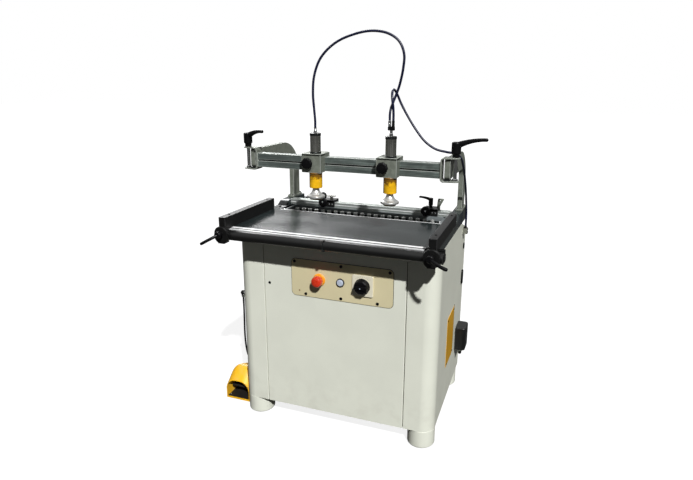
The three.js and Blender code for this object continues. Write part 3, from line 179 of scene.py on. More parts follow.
def powder_coat(name, colour, gloss=0.38, clouds=0.05, dust=0.0):
    """Sprayed paint: faint clouds of tone, orange-peel skin and, low down, some dust."""
    paint = Finish(name, IOR=1.5)
    cloud = paint.noise(5, 4).band(0.3, 0.7)
    tone = paint.mix(cloud, shade(colour, 1 - clouds), shade(colour, 1 + clouds))
    specks = paint.noise(260, 2, offset=(3, 1, 7)).band(0.7, 0.78)
    tone = paint.mix(specks * 0.12, tone, shade(colour, 0.55))
    if dust:
        low = 1 - paint.height().band(0.02, 0.36)
        grime = low * paint.noise(18, 5, offset=(1, 5, 2)).band(0.42, 0.72)
        tone = paint.mix(grime * dust, tone, shade((0.42, 0.39, 0.32), 1))
    paint.set("Base Color", tone)
    paint.set("Roughness", paint.noise(14, 3, offset=(9, 2, 4)) * 0.16 + (gloss - 0.08))
    paint.bump(paint.noise(700, 2), 0.12, 0.0002)
    return paint.material


def drawn_metal(name, colour, along="X", gloss=0.34, metal=0.9, lines=0.18, mottle=0.12):
    """Metal with fine lines left by drawing, turning or grinding along one axis."""
    steel = Finish(name)
    stretch = {"X": (0.02, 1, 1), "Y": (1, 0.02, 1), "Z": (1, 1, 0.02), "round": (1, 1, 30)}[along]
    line = steel.noise(420 if along != "round" else 40, 3, stretch)
    patch = steel.noise(16, 4, offset=(4, 8, 1)).band(0.3, 0.72)
    tone = steel.mix(line.band(0.3, 0.7), shade(colour, 1 - lines), shade(colour, 1 + lines))
    tone = steel.mix(patch * mottle, tone, shade(colour, 0.5))
    steel.set("Base Color", tone)
    steel.set("Metallic", metal)
    steel.set("Roughness", line * 0.18 + patch * 0.1 + (gloss - 0.14))
    steel.bump(line, 0.12, 0.0002)
    return steel.material


def galvanised_metal(name, colour, metal):
    """Zinc-coated steel: crystal flakes of tone, dull stains and a soft sheen."""
    zinc = Finish(name)
    flake = zinc.add("ShaderNodeTexVoronoi", {"feature": "F1"},
                     {"Vector": zinc.place, "Scale": 90.0, "Randomness": 1.0}, out="Color")
    grain = zinc.add("ShaderNodeSeparateXYZ", inputs={0: flake}, out="X")
    stain = zinc.noise(22, 5, offset=(2, 2, 6)).band(0.45, 0.75)
    tone = zinc.mix(grain, shade(colour, 0.88), shade(colour, 1.14))
    tone = zinc.mix(stain * 0.4, tone, shade(colour, 0.62))
    zinc.set("Base Color", tone)
    zinc.set("Metallic", metal)
    zinc.set("Roughness", grain * 0.14 + stain * 0.16 + 0.30)
    zinc.bump(zinc.noise(300, 3), 0.14, 0.0003)
    return zinc.material


def moulded(name, colour, gloss=0.42, grain=500, wear=0.0, shine=0.3):
    """Moulded plastic or rubber with a fine skin and, if worn, paler rubbed patches."""
    skin = Finish(name, IOR=1.46, Specular_IOR_Level=shine)
    rubbed = skin.noise(36, 5, offset=(7, 1, 3)).band(0.5, 0.8)
    tone = skin.mix(rubbed * (0.35 + wear), shade(colour, 1), shade(colour, 2.2))
    skin.set("Base Color", tone)
    skin.set("Roughness", skin.noise(60, 3) * 0.16 + (gloss - 0.08))
    skin.bump(skin.noise(grain, 2), 0.18, 0.0002)
    return skin.material


def table_enamel():
    """Dark blue-grey machine enamel on a ground casting, rubbed by the boards that slide on it."""
    enamel = Finish("table_enamel", IOR=1.5)
    colour = (0.015, 0.021, 0.0215, 1)
    rubbed = enamel.noise(7, 5, (0.5, 1, 1)).band(0.35, 0.75)
    scratch = enamel.noise(160, 2, (0.05, 1, 1), offset=(0, 4, 0)).band(0.66, 0.74)
    tone = enamel.mix(rubbed, shade(colour, 0.9), shade(colour, 1.35))
    tone = enamel.mix(scratch * 0.12, tone, (0.07, 0.08, 0.082, 1))
    enamel.set("Base Color", tone)
    enamel.set("Roughness", rubbed * 0.1 + enamel.noise(300, 2) * 0.06 + 0.12)
    enamel.bump(enamel.noise(240, 3), 0.1, 0.0002)
    return enamel.material


def glossy_moulding(name, colour, coat=0.6, gloss=0.22, cloud=0.12, stain=0.0):
    """Glossy coloured plastic with a thin clear skin and a painted dark brown shadow above the height called
    stain.
    """
    gel = Finish(name, IOR=1.48, Coat_Weight=coat, Coat_Roughness=0.12)
    wave = gel.noise(40, 3).band(0.3, 0.7)
    tone = gel.mix(wave, shade(colour, 1 - cloud), shade(colour, 1 + cloud))
    # Painted shadow: dark brown from the stain height up, with a ragged edge.
    if stain:
        edge = gel.height() + gel.noise(60, 3, offset=(2, 6, 1)) * 0.05
        tone = gel.mix(edge.band(stain, stain + 0.012) * 0.86, tone, (0.09, 0.028, 0.004, 1))
    gel.set("Base Color", tone)
    gel.set("Roughness", gel.noise(150, 2) * 0.1 + gloss)
    gel.bump(gel.noise(400, 2), 0.05, 0.0001)
    return gel.material


CREAM = powder_coat("cream_powder_coat", (0.75, 0.765, 0.665), clouds=0.025, dust=0.18)
CREAM_FRAME = powder_coat("cream_frame_coat", (0.68, 0.70, 0.60), gloss=0.45, dust=0.45)
# Paler cream for the rounded-off sheet edges: a painted highlight along the folds.
CREAM_EDGE_HIGHLIGHT = powder_coat("cream_edge_highlight", (0.86, 0.87, 0.80), gloss=0.34, clouds=0.02)
ENAMEL = table_enamel()
BLACK_RAIL = moulded("black_rail_coat", (0.006, 0.006, 0.006), gloss=0.32, grain=300, wear=0.2, shine=0.5)
# Pale strips that paint the sunlit highlight along edges of the rails and the table.
BRIGHT_HIGHLIGHT_STRIP = drawn_metal("bright_highlight_strip", (0.74, 0.75, 0.75), "X", gloss=0.4, metal=0.1, lines=0.1,
                           mottle=0.25)
WHITE_HIGHLIGHT_STRIP = drawn_metal("white_highlight_strip", (0.95, 0.95, 0.95), "X", gloss=0.4, metal=0.0, lines=0.02,
                          mottle=0.02)
BLACK_FENCE = moulded("black_fence_coat", (0.005, 0.005, 0.005), gloss=0.42, grain=260, wear=0.3)
# A paler black for the rounded-off edges of the fence parts.
FENCE_EDGE = moulded("paler_fence_edge", (0.03, 0.031, 0.032), gloss=0.4, grain=260)
BLACK_PLASTIC = moulded("black_moulding", (0.003, 0.003, 0.0035), gloss=0.4, shine=0.22)
BLACK_GRIP = moulded("black_lever_moulding", (0.003, 0.003, 0.0035), gloss=0.36, grain=800, shine=0.22)
ZINC = galvanised_metal("zinc_plate", (0.21, 0.228, 0.19), metal=0.25)
# Pale zinc for the rounded-off edges: a painted highlight along them.
ZINC_EDGE_HIGHLIGHT = drawn_metal("zinc_edge_highlight", (0.55, 0.58, 0.54), "Y", gloss=0.36, metal=0.4, lines=0.08)
DRAWN_BAR = drawn_metal("drawn_beam", (0.17, 0.205, 0.19), "X", gloss=0.34, metal=0.4, lines=0.55, mottle=0.8)
# Near-black for real gaps, joints and marks, and also for painted shade in grooves, slots and hollows.
DARK_GAP_AND_SHADE = moulded("dark_gap_and_painted_shade", (0.012, 0.014, 0.013), gloss=0.6)
CHUCK_STEEL = drawn_metal("chuck_steel", (0.55, 0.56, 0.54), "round", gloss=0.4, metal=0.3, lines=0.1,
                          mottle=0.1)
STAINLESS = drawn_metal("stainless_tube", (0.50, 0.50, 0.46), "Z", gloss=0.24, metal=0.98, lines=0.2)
DARK_BAND = drawn_metal("dark_cap_band", (0.05, 0.055, 0.055), "round", gloss=0.3)
CHROME = drawn_metal("plated_fitting", (0.72, 0.73, 0.73), "round", gloss=0.2, metal=1.0, lines=0.06,
                     mottle=0.05)
# The sleeve's upper part carries a painted shadow, dark brown from 1.093 m up.
AMBER = glossy_moulding("amber_sleeve", (0.86, 0.47, 0.008), coat=0.8, gloss=0.2, stain=1.093)
TURNED_ALUMINIUM = drawn_metal("turned_aluminium", (0.62, 0.62, 0.60), "round", gloss=0.38, metal=0.75,
                               lines=0.1, mottle=0.05)
TAN_RUBBER = moulded("tan_rubber", (0.27, 0.19, 0.10), gloss=0.6, grain=300)
RAIL_ALUMINIUM = drawn_metal("anodised_rail", (0.46, 0.50, 0.47), "X", gloss=0.38, metal=0.7, lines=0.08)
GROUND_STEEL = drawn_metal("ground_steel", (0.66, 0.67, 0.67), "round", gloss=0.24, metal=1.0, lines=0.1)
BEIGE = powder_coat("beige_panel_coat", (0.66, 0.59, 0.37), gloss=0.5, clouds=0.035)
SELECTOR_CREAM = powder_coat("selector_plate_coat", (0.74, 0.70, 0.55), gloss=0.4, clouds=0.03)
STOP_RED = glossy_moulding("stop_red", (0.66, 0.036, 0.010))
STOP_ORANGE = glossy_moulding("stop_collar_orange", (0.90, 0.36, 0.02), coat=0.3, gloss=0.35)
PALE_LENS = glossy_moulding("pale_lens", (0.50, 0.56, 0.67), coat=0.6, gloss=0.16, cloud=0.05)
OCHRE = powder_coat("ochre_cover_coat", (0.62, 0.32, 0.008), gloss=0.42, clouds=0.08)
PEDAL_YELLOW = powder_coat("pedal_yellow_coat", (0.88, 0.47, 0.012), gloss=0.4, clouds=0.08, dust=0.3)
PEDAL_DARK = moulded("pedal_inside", (0.012, 0.011, 0.009), gloss=0.6)
CAST_GREY = powder_coat("grey_machine_enamel", (0.17, 0.19, 0.195), gloss=0.46, clouds=0.12)
MOTOR_GREY = powder_coat("motor_enamel", (0.13, 0.15, 0.165), gloss=0.4, clouds=0.1)
HOSE_BLUE = glossy_moulding("navy_hose", (0.004, 0.006, 0.03), coat=0.1, gloss=0.36)
HOSE_BLACK = moulded("black_hose", (0.005, 0.005, 0.0055), gloss=0.42)


# Shapes, in millimetres
def along(axis, a, b, c):
    """Outline point (a, b) at the place c on the axis."""
    return {"X": (c, a, b), "Y": (a, c, b), "Z": (a, b, c)}[axis]


def loft(rings):
    """A closed skin over rings of points; a ring of one point is a pole."""
    part = bmesh.new()
    made = [[part.verts.new(p) for p in ring] for ring in rings]
    for low, high in zip(made, made[1:]):
        count = max(len(low), len(high))
        for i in range(count):
            j = (i + 1) % count
            corners = [low[i % len(low)], low[j % len(low)], high[j % len(high)], high[i % len(high)]]
            unique = list(dict.fromkeys(corners))
            if len(unique) > 2:
                part.faces.new(unique)
    for ring in (made[0], made[-1]):
        if len(ring) > 2:
            part.faces.new(ring)
    return part


def prism(axis, outline, start, end):
    return loft([[along(axis, a, b, c) for a, b in outline] for c in (start, end)])


def block(x0, x1, y0, y1, z0, z1):
    return prism("Z", [(x0, y0), (x1, y0), (x1, y1), (x0, y1)], z0, z1)


def arc(a, b, radius, start, end, steps):
    """Points on a circle, from start to end in degrees."""
    angles = [math.radians(start + (end - start) * i / steps) for i in range(steps + 1)]
    return [(a + radius * math.cos(t), b + radius * math.sin(t)) for t in angles]


def softened(outline, radius, steps=4, closed=True):
    """The outline with each corner rounded. radius is one number or one for each corner."""
    count = len(outline)
    radii = [radius] * count if isinstance(radius, (int, float)) else radius
    points = []
    for i, corner in enumerate(outline):
        here = Vector(corner)
        if radii[i] <= 0 or (not closed and i in (0, count - 1)):
            points.append(tuple(here))
            continue
        back = Vector(outline[i - 1]) - here
        ahead = Vector(outline[(i + 1) % count]) - here
        reach = min(radii[i], back.length * 0.48, ahead.length * 0.48)
        start, end = here + back.normalized() * reach, here + ahead.normalized() * reach
        for step in range(steps + 1):
            t = step / steps
            points.append(tuple(start * (1 - t) ** 2 + here * 2 * t * (1 - t) + end * t * t))
    return points


def rounded_box(a0, a1, b0, b1, radius, steps=6):
    right, left, top, bottom = a1 - radius, a0 + radius, b1 - radius, b0 + radius
    outline = []
    for i, (a, b) in enumerate(((right, top), (left, top), (left, bottom), (right, bottom))):
        outline += arc(a, b, radius, 90 * i, 90 * i + 90, steps)
    return outline


def lathe(axis, profile, centre=(0, 0, 0), sides=48, soft=0, lobes=0, lobe_depth=0):
    """A turned solid from (radius, place) pairs, closed at both ends. Lobes make a fluted grip."""
    if profile[0][0]:
        profile = [(0, profile[0][1]), *profile]
    if profile[-1][0]:
        profile = [*profile, (0, profile[-1][1])]
    if soft:
        profile = softened(profile, soft, closed=False)
    widest = max(radius for radius, _ in profile)
    rings = []
    for radius, place in profile:
        if radius < 1e-6:
            rings.append([along(axis, 0, 0, place)])
            continue
        ring = []
        for i in range(sides):
            turn = 2 * math.pi * i / sides
            reach = radius - lobe_depth * (0.5 - 0.5 * math.cos(lobes * turn)) * (radius / widest)
            ring.append(along(axis, reach * math.cos(turn), reach * math.sin(turn), place))
        rings.append(ring)
    part = loft(rings)
    bmesh.ops.translate(part, vec=Vector(centre), verts=part.verts)
    return part


def ring_lathe(profile, centre, sides):
    """A turned ring round the z axis: a closed outline that never meets the axis."""
    part = bmesh.new()
    columns = []
    for i in range(sides):
        t = 2 * math.pi * i / sides
        over, up = math.cos(t), math.sin(t)
        columns.append([part.verts.new((centre[0] + r * over, centre[1] + r * up, z)) for r, z in profile])
    for here, ahead in zip(columns, columns[1:] + columns[:1]):
        for k in range(len(profile)):
            n = (k + 1) % len(profile)
            part.faces.new((here[k], ahead[k], ahead[n], here[n]))
    return part


def pin(axis, radius, start, end, centre=(0, 0, 0), sides=32, soft=0.6):
    return lathe(axis, [(radius, start), (radius, end)], centre, sides, soft)


def folded_sheet(path, thickness, bottom, top):
    """A bent sheet from bottom to top, each a height or a rule that gives it for a point."""
    base = bottom if callable(bottom) else (lambda point: bottom)
    level = top if callable(top) else (lambda point: top)
    inner = []
    for i, point in enumerate(path):
        ways = [Vector(path[j + 1]) - Vector(path[j]) for j in (i - 1, i) if 0 <= j < len(path) - 1]
        normals = [Vector((-way.y, way.x)).normalized() for way in ways if way.length > 1e-9]
        total = sum(normals, Vector((0, 0)))
        inner.append(tuple(Vector(point) + total * (thickness * len(normals) / total.dot(total))))
    part = bmesh.new()
    columns = []
    for out, back in zip(path, inner):
        corners = ((out, base(out)), (out, level(out)), (back, level(out)), (back, base(out)))
        columns.append([part.verts.new((*point, z)) for point, z in corners])
    for here, ahead in zip(columns, columns[1:]):
        for k in range(4):
            part.faces.new((here[k], ahead[k], ahead[(k + 1) % 4], here[(k + 1) % 4]))
    part.faces.new(columns[0])
    part.faces.new(columns[-1])
    return part


ROUTE_STEPS = 6


def smooth_route(points):
    """A smooth curve through the points, with its tightness shared out by their spacing."""
    places = [Vector(p) for p in points]
    ends = [places[0] * 2 - places[1]] + places + [places[-1] * 2 - places[-2]]
    route = []
    for p0, p1, p2, p3 in zip(ends, ends[1:], ends[2:], ends[3:]):
        d0, d1, d2 = ((b - a).length ** 0.5 for a, b in ((p0, p1), (p1, p2), (p2, p3)))
        t1 = ((p1 - p0) / d0 - (p2 - p0) / (d0 + d1) + (p2 - p1) / d1) * d1
        t2 = ((p2 - p1) / d1 - (p3 - p1) / (d1 + d2) + (p3 - p2) / d2) * d1
        for step in range(ROUTE_STEPS):
            t = step / ROUTE_STEPS
            route.append(p1 * (2 * t ** 3 - 3 * t ** 2 + 1) + t1 * (t ** 3 - 2 * t ** 2 + t)
                         + p2 * (3 * t ** 2 - 2 * t ** 3) + t2 * (t ** 3 - t ** 2))
    return route + [places[-1]]


def tube(route, radius, sides=12):
    """A round tube on a route of points, without twist."""
    rings, side = [], None
    for i, here in enumerate(route):
        way = (route[min(i + 1, len(route) - 1)] - route[max(i - 1, 0)]).normalized()
        side = side or way.orthogonal()
        side = (side - way * side.dot(way)).normalized()
        over = way.cross(side)
        rings.append([here + (side * math.cos(t) + over * math.sin(t)) * radius
                      for t in (2 * math.pi * k / sides for k in range(sides))])
    return loft(rings)


def moved(part, matrix):
    bmesh.ops.transform(part, matrix=matrix, verts=part.verts)
    return part


def ring_part(centre, profile, sides):
    """A turned ring round an axis along y, with its centre in x and z."""
    part = ring_lathe(profile, (0, 0), sides)
    return moved(part, Matrix(((1, 0, 0, centre[0]), (0, 0, 1, 0), (0, 1, 0, centre[1]), (0, 0, 0, 1))))


class Piece:
    """A named piece that rides on one body. Its parts are put in one by one, each with its finish."""

    def __init__(self, name, body, slot, stands_for="", mirrored=False):
        self.name, self.body, self.slot, self.stands_for = name, body, slot, stands_for
        self.mesh, self.finishes, self.mirrored = bmesh.new(), [], mirrored

    def number(self, finish):
        if finish not in self.finishes:
            self.finishes.append(finish)
        return self.finishes.index(finish)

    def put(self, part, finish, round_off=0, steps=2, edge=None):
        """Adds a closed part. round_off rounds its sharp edges, which may take their own finish."""
        if self.mirrored:
            for vert in part.verts:
                vert.co.x = -vert.co.x
        bmesh.ops.recalc_face_normals(part, faces=part.faces)
        for face in part.faces:
            face.material_index = self.number(finish)
        if round_off:
            sharp = [e for e in part.edges if len(e.link_faces) == 2 and e.calc_face_angle(0) > SHARP]
            bmesh.ops.bevel(part, geom=sharp, offset=round_off, offset_type="OFFSET", segments=steps,
                            profile=0.5, affect="EDGES", clamp_overlap=True,
                            material=self.number(edge) if edge else -1)
        held = bpy.data.meshes.new("held")
        part.to_mesh(held)
        self.mesh.from_mesh(held)
        bpy.data.meshes.remove(held)
        part.free()

    def turn(self, axis, centre, profile, finish, sides=48, soft=0):
        """Adds a turned part."""
        self.put(lathe(axis, profile, centre, sides, soft), finish)

    def done(self, ride=True, metres=False):
        """Makes the object with its finishes, hangs it on its body and hides the model's part that it stands
        for.
        """
        if not metres:
            bmesh.ops.scale(self.mesh, vec=(0.001, 0.001, 0.001), verts=self.mesh.verts)
            bmesh.ops.translate(self.mesh, vec=ORIGIN, verts=self.mesh.verts)
        shape = bpy.data.meshes.new(self.name)
        self.mesh.to_mesh(shape)
        self.mesh.free()
        for finish in self.finishes:
            shape.materials.append(finish)
        shape.shade_smooth()
        shape.set_sharp_from_angle(angle=SHARP)
        thing = bpy.data.objects.new(self.name, shape)
        bpy.context.collection.objects.link(thing)
        if not metres:
            even = thing.modifiers.new("even_shading", "WEIGHTED_NORMAL")
            even.keep_sharp = True
        if ride:
            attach(thing, self.body)
        if self.stands_for:
            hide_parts(self.stands_for)
        return thing


# Sizes that several pieces share
# Cabinet: half its width, its depth, its top and underside, and the radius of its front columns
WIDE, DEEP, TOP, FOOT, CORNER = 430, 615, 842, 80, 57
TABLE_TOP = 880
RAIL_END = 455
# Beam: its middle in y, the saddles' studs in x and the saddles' top
BEAM_MIDDLE, STUD_X, SADDLE_TOP = 145, 441, 1178.3
# Pressers: their place in y, the bracket's underside and the air cylinder's top
Y_PRESSER, BRACKET_BOTTOM, CYLINDER_TOP = 99.7, 1096, 1252
# Head: its row of spindles in y and its height, then the places of its guide bars and feed rods
ROW, HEAD_BOTTOM, HEAD_TOP = 356, 740, 850
GUIDE_X, FEED_X, GUIDE_Y = 250, 130, 411
# Controls: the plate's face in y, their shared height and their places in x
PLATE_FACE, CONTROL_HEIGHT, STOP_X, START_X, SELECTOR_X = -2.8, 680, -55, 36, 130
# Pedal: its middle in x and the treadle's hinge in y
PEDAL_X, HINGE_Y = -505, 211


# Hoses
def hose(name, route, diameter, looks, node, bodies, stretch):
    """A stretch of a free hose, from one numbered point of its route to another."""
    finish, slot = looks
    first, last = stretch
    path = [spot(*p) for p in smooth_route(route)[first * ROUTE_STEPS:last * ROUTE_STEPS + 1]]
    piece = Piece(name, bodies[0], slot, node)
    piece.put(tube(path, diameter / 2000, 14), finish)
    thing = piece.done(ride=len(bodies) == 1, metres=True)
    if len(bodies) == 2:
        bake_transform(thing)


AIR_HOSE = 9.5
LINK = [
    (-110, Y_PRESSER, 1274.3), (-110, Y_PRESSER, 1300), (-114, 100, 1345), (-118, 100, 1400),
    (-112, 100, 1468), (-84, 100, 1534), (-25, 100, 1587), (48, 100, 1616), (118, 100, 1627),
    (181, 100, 1617), (223, 100, 1589), (242, 100, 1546), (240, 102, 1500), (232, 108, 1463),
    (222, 114, 1430), (211, 117, 1402), (202, 113, 1376), (195.5, 104.5, 1352), (194, Y_PRESSER, 1333),
    (194, Y_PRESSER, 1310.3)]
SUPPLY = [
    (208, Y_PRESSER, 1310.3), (208, Y_PRESSER, 1332), (207.3, 97.2, 1355), (205, 94.1, 1377),
    (202.2, 96.8, 1393.6), (199.4, 105.7, 1407.8), (197, 120.2, 1417.7), (196, 137, 1421),
    (196.7, 153.4, 1417.9), (199, 168.1, 1408.1), (203.5, 177.7, 1394), (210, 182, 1377), (234, 183, 1334),
    (272, 179, 1279), (312, 176, 1232), (354, 181, 1203), (392, 196, 1192), (424, 219, 1184),
    (442, 253, 1165), (446, 306, 1126), (445, 370, 1075), (443, 440, 1007), (441, 494, 938),
    (441, 521, 880), (441, 524, 845), (441, 524, 822.3)]
PEDAL_RUN = [
    (-455, 70, 521.7), (-455, 70, 490), (-457, 72, 420), (-461, 76, 350), (-463, 82, 290), (-462, 92, 235),
    (-456, 105, 195), (-446, 122, 150), (-438.5, 150, 95), (-437, 187, 52), (-437, 235, 24),
    (-437, 270, 11), (-437, 305, 6), (-437, 345, 6), (-442.6, 366, 6), (-458, 381.4, 6), (-479, 387, 6),
    (-500, 381.4, 7), (-515.4, 366, 8), (-521, 345, 11), (-518, 322, 17), (-510, 304, 24),
    (-505.2, 286, 28), (-505, 271.3, 28)]

NAVY = (HOSE_BLUE, "hose_blue")
for name, bodies, stretch, bend in (
        ("link_hose_left", ("left_carriage", "beam"), (0, 7), (1, 6)),
        ("link_hose_right", ("beam", "right_carriage"), (7, 19), (8, 18))):
    hose(name, LINK, AIR_HOSE, NAVY, "link_hose", bodies, stretch)
for name, bodies, stretch, bend in (
        ("supply_hose_rise", ("right_carriage",), (0, 7), None),
        ("supply_hose_front", ("right_carriage", "beam"), (7, 14), (8, 13)),
        ("supply_hose_rear", ("beam", "cabinet"), (14, 25), (15, 24))):
    hose(name, SUPPLY, AIR_HOSE, NAVY, "supply_hose", bodies, stretch)
hose("pedal_hose_run", PEDAL_RUN, 8, (HOSE_BLACK, "hose_black"), "pedal_hose", ("cabinet",), (0, 23))


# Repeated details
def repeated(name, template, count, size, kind, material, centre=(0, 0, 0)):
    """A Geometry Nodes tree that repeats a small shape along a row or round a ring, as one plain mesh."""
    group = bpy.data.node_groups.new(name, "GeometryNodeTree")
    for label, sort in (("Shape", "Object"), ("Count", "Int"), ("Spread", "Float")):
        group.interface.new_socket(label, in_out="INPUT", socket_type="NodeSocket" + sort)
    group.interface.new_socket("Result", in_out="OUTPUT", socket_type="NodeSocketGeometry")
    tree = Tree(group)
    shape, number, spread = (tree.add("NodeGroupInput", out=label) for label in ("Shape", "Count", "Spread"))
    place = {"Instance": tree.add("GeometryNodeObjectInfo", inputs={"Object": shape}, out="Geometry")}
    if kind == "row":
        place["Points"] = tree.add("GeometryNodeMeshLine", {"mode": "END_POINTS"}, {
            "Count": number, "Start Location": (-0.5 * size, 0, 0), "Offset": (0.5 * size, 0, 0)})
    else:
        place["Points"] = tree.add("GeometryNodeMeshCircle", inputs={"Vertices": number, "Radius": spread})
        turn = tree.add("GeometryNodeInputIndex") * (2 * math.pi / count)
        place["Rotation"] = tree.add("ShaderNodeCombineXYZ", inputs={"Z": turn})
    copies = tree.add("GeometryNodeInstanceOnPoints", inputs=place)
    real = tree.add("GeometryNodeRealizeInstances", inputs={"Geometry": copies})
    painted = tree.add("GeometryNodeSetMaterial", inputs={"Geometry": real, "Material": material})
    tree.add("NodeGroupOutput", inputs={"Result": painted})

    held = bpy.data.meshes.new(name + "_template")
    bmesh.ops.recalc_face_normals(template, faces=template.faces)
    template.to_mesh(held)
    template.free()
    seed = bpy.data.objects.new(name + "_template", held)
    carrier = bpy.data.objects.new(name + "_carrier", bpy.data.meshes.new(name + "_carrier"))
    for thing in (seed, carrier):
        bpy.context.collection.objects.link(thing)
    maker = carrier.modifiers.new("repeat", "NODES")
    maker.node_group = group
    given = {"Shape": seed, "Count": count, "Spread": float(size)}
    for socket in group.interface.items_tree:
        if socket.in_out == "INPUT":
            maker[socket.identifier] = given[socket.name]
    bpy.context.view_layer.update()
    plain = bpy.data.meshes.new_from_object(carrier.evaluated_get(bpy.context.evaluated_depsgraph_get()))
    part = bmesh.new()
    part.from_mesh(plain)
    for thing in (carrier, seed):
        bpy.data.objects.remove(thing)
    bmesh.ops.translate(part, vec=Vector(centre), verts=part.verts)
    return part


def socket_screw(axis, centre, radius=3.6, head=1.6, towards=-1):
    """A round screw head with a socket, standing off a face."""
    tip = towards * head
    profile = [(radius, 0), (radius, tip * 0.7), (radius * 0.82, tip), (radius * 0.45, tip),
               (radius * 0.4, tip * 0.35)]
    return lathe(axis, profile, centre, 24)


def hexagon_bolt(axis, centre, across, head):
    """A six-sided bolt head on its round washer face."""
    reach = across / math.sqrt(3)
    profile = [(reach * 1.25, 0), (reach * 1.25, head * 0.18), (reach, head * 0.2), (reach, head * 0.85),
               (reach * 0.88, head)]
    return lathe(axis, profile, centre, 6)


# Cabinet
def make_weldment():
    weldment = Piece("welded_frame", "cabinet", "frame_paint", "base_frame")
    for x in (-373, 373):
        for y in (57, 558):
            weldment.turn("Z", (x, y, 0), [(50, 0), (57, 6), (57, FOOT - 0.3)], CREAM, 96, 3)
    tubes = [(0, 790, 30, 78, z, z + 40) for z in (82, 801.7)]
    tubes += [(0, 832, 552, 592, z, z + 40) for z in (82, 360)]
    for x in (-1, 1):
        tubes += [(x * 370, 50, 30, 80, 75, TOP - 0.3), (x * 396, 40, 552, 592, 75, TOP - 0.3)]
        tubes += [(x * 396, 40, 55, 592, z, z + 40) for z in (82, 801.7)]
    for x, width, y0, y1, z0, z1 in tubes:
        weldment.put(block(x - width / 2, x + width / 2, y0, y1, z0, z1), CREAM_FRAME, 4, 3)
    weldment.put(block(-406, 406, 589, 595, 82, 400), CREAM, 1.2)
    for x in (-385, -130, 130, 385):
        for z in (102, 380):
            weldment.put(socket_screw("Y", (x, 595, z), 5, 3, 1), BLACK_PLASTIC)
    weldment.done()


def shell_top(point):
    return TOP - 47 * max(0, point[1] - 479) / 136


def shell_path():
    corner = softened([(307.5, 29.7), (307.5, 0), (330, 0)], [0, 2.5, 0], 3, closed=False)[:-1]
    rear = softened([(WIDE, 479), (WIDE, DEEP), (WIDE - 25, DEEP)], [0, 3, 0], 3, closed=False)
    return corner + arc(WIDE - CORNER, CORNER, CORNER, -90, 0, 22) + rear


def make_right_wall_fittings(shell):
    """The ochre cover, the air inlet and the two black grommets."""
    shell.put(block(WIDE - 1, WIDE + 1.5, 233, 393, 255, 482), OCHRE, 1, 2)
    # A dark strip along the cover's rear edge: painted shadow.
    shell.put(block(WIDE - 1, WIDE + 0.9, 393, 399, 270, 486), DARK_GAP_AND_SHADE, 0.4)
    for y, z in ((245, 267), (381, 267), (245, 470), (381, 470)):
        shell.put(socket_screw("X", (WIDE + 1.4, y, z), 4, 1.8, 1), BLACK_PLASTIC)
    shell.put(prism("Z", rounded_box(WIDE - 1, 452, 511, 537, 3), 786, 812), STAINLESS, 1.2)
    shell.turn("Z", (441, 524, 0), [(8, 811), (8, 815), (6, 816), (6, 822)], BLACK_PLASTIC, 32, 0.8)
    shell.turn("X", (0, 524, 799), [(5, 451), (5, 453), (2, 453.5)], CHROME, 24)
    shell.put(prism("X", rounded_box(548, 578, 526, 598, 14.9, 10), WIDE - 1, 437), BLACK_PLASTIC, 2.5, 3)
    shell.put(prism("X", rounded_box(556, 570, 702, 730, 6.9, 8), WIDE - 1, 436), BLACK_PLASTIC, 2, 3)


def make_left_wall_elbow(shell):
    """The elbow that the pedal's hose leaves by."""
    centre, reach, end = (0, 70, 542), 455, 11
    shell.turn("X", centre, [(13, -431), (13, -433), (8, -434), (8, -reach)], CHROME, 32, 0.8)
    ball = [(end * math.sin(t), -reach - end * math.cos(t)) for t in map(math.radians, range(15, 180, 15))]
    shell.turn("X", centre, [(0, -reach - end), *ball, (0, -reach + end)], BLACK_PLASTIC, 32)
    neck = [(6.5, 522), (6.5, 526), (7.6, 527), (7.6, 534), (0, 536)]
    shell.turn("Z", (-reach, 70, 0), neck, CHROME, 32, 0.6)


def make_shells():
    for side, sign in SIDES.items():
        shell = Piece(f"{side}_shell", "cabinet", "cream_paint", f"{side}_side_shell", mirrored=sign < 0)
        shell.put(folded_sheet(shell_path(), 3, FOOT, shell_top), CREAM, 0.7, 2, CREAM_EDGE_HIGHLIGHT)
        shell.mirrored = False
        if side == "right":
            make_right_wall_fittings(shell)
        else:
            make_left_wall_elbow(shell)
        shell.done()


def make_front_panel():
    panel = Piece("front_sheet", "cabinet", "cream_paint", "front_panel")
    path = softened([(-304.5, 29.7), (-304.5, 0), (304.5, 0), (304.5, 29.7)], [0, 2.5, 2.5, 0], 3,
                    closed=False)
    panel.put(folded_sheet(path, 3, FOOT, TOP), CREAM, 0.7, 2, CREAM_EDGE_HIGHLIGHT)
    panel.turn("Y", (-281, 0, 638), [(6, 1.5), (6, -1.4), (4.8, -2)], BLACK_PLASTIC, 32, 0.5)
    panel.done()


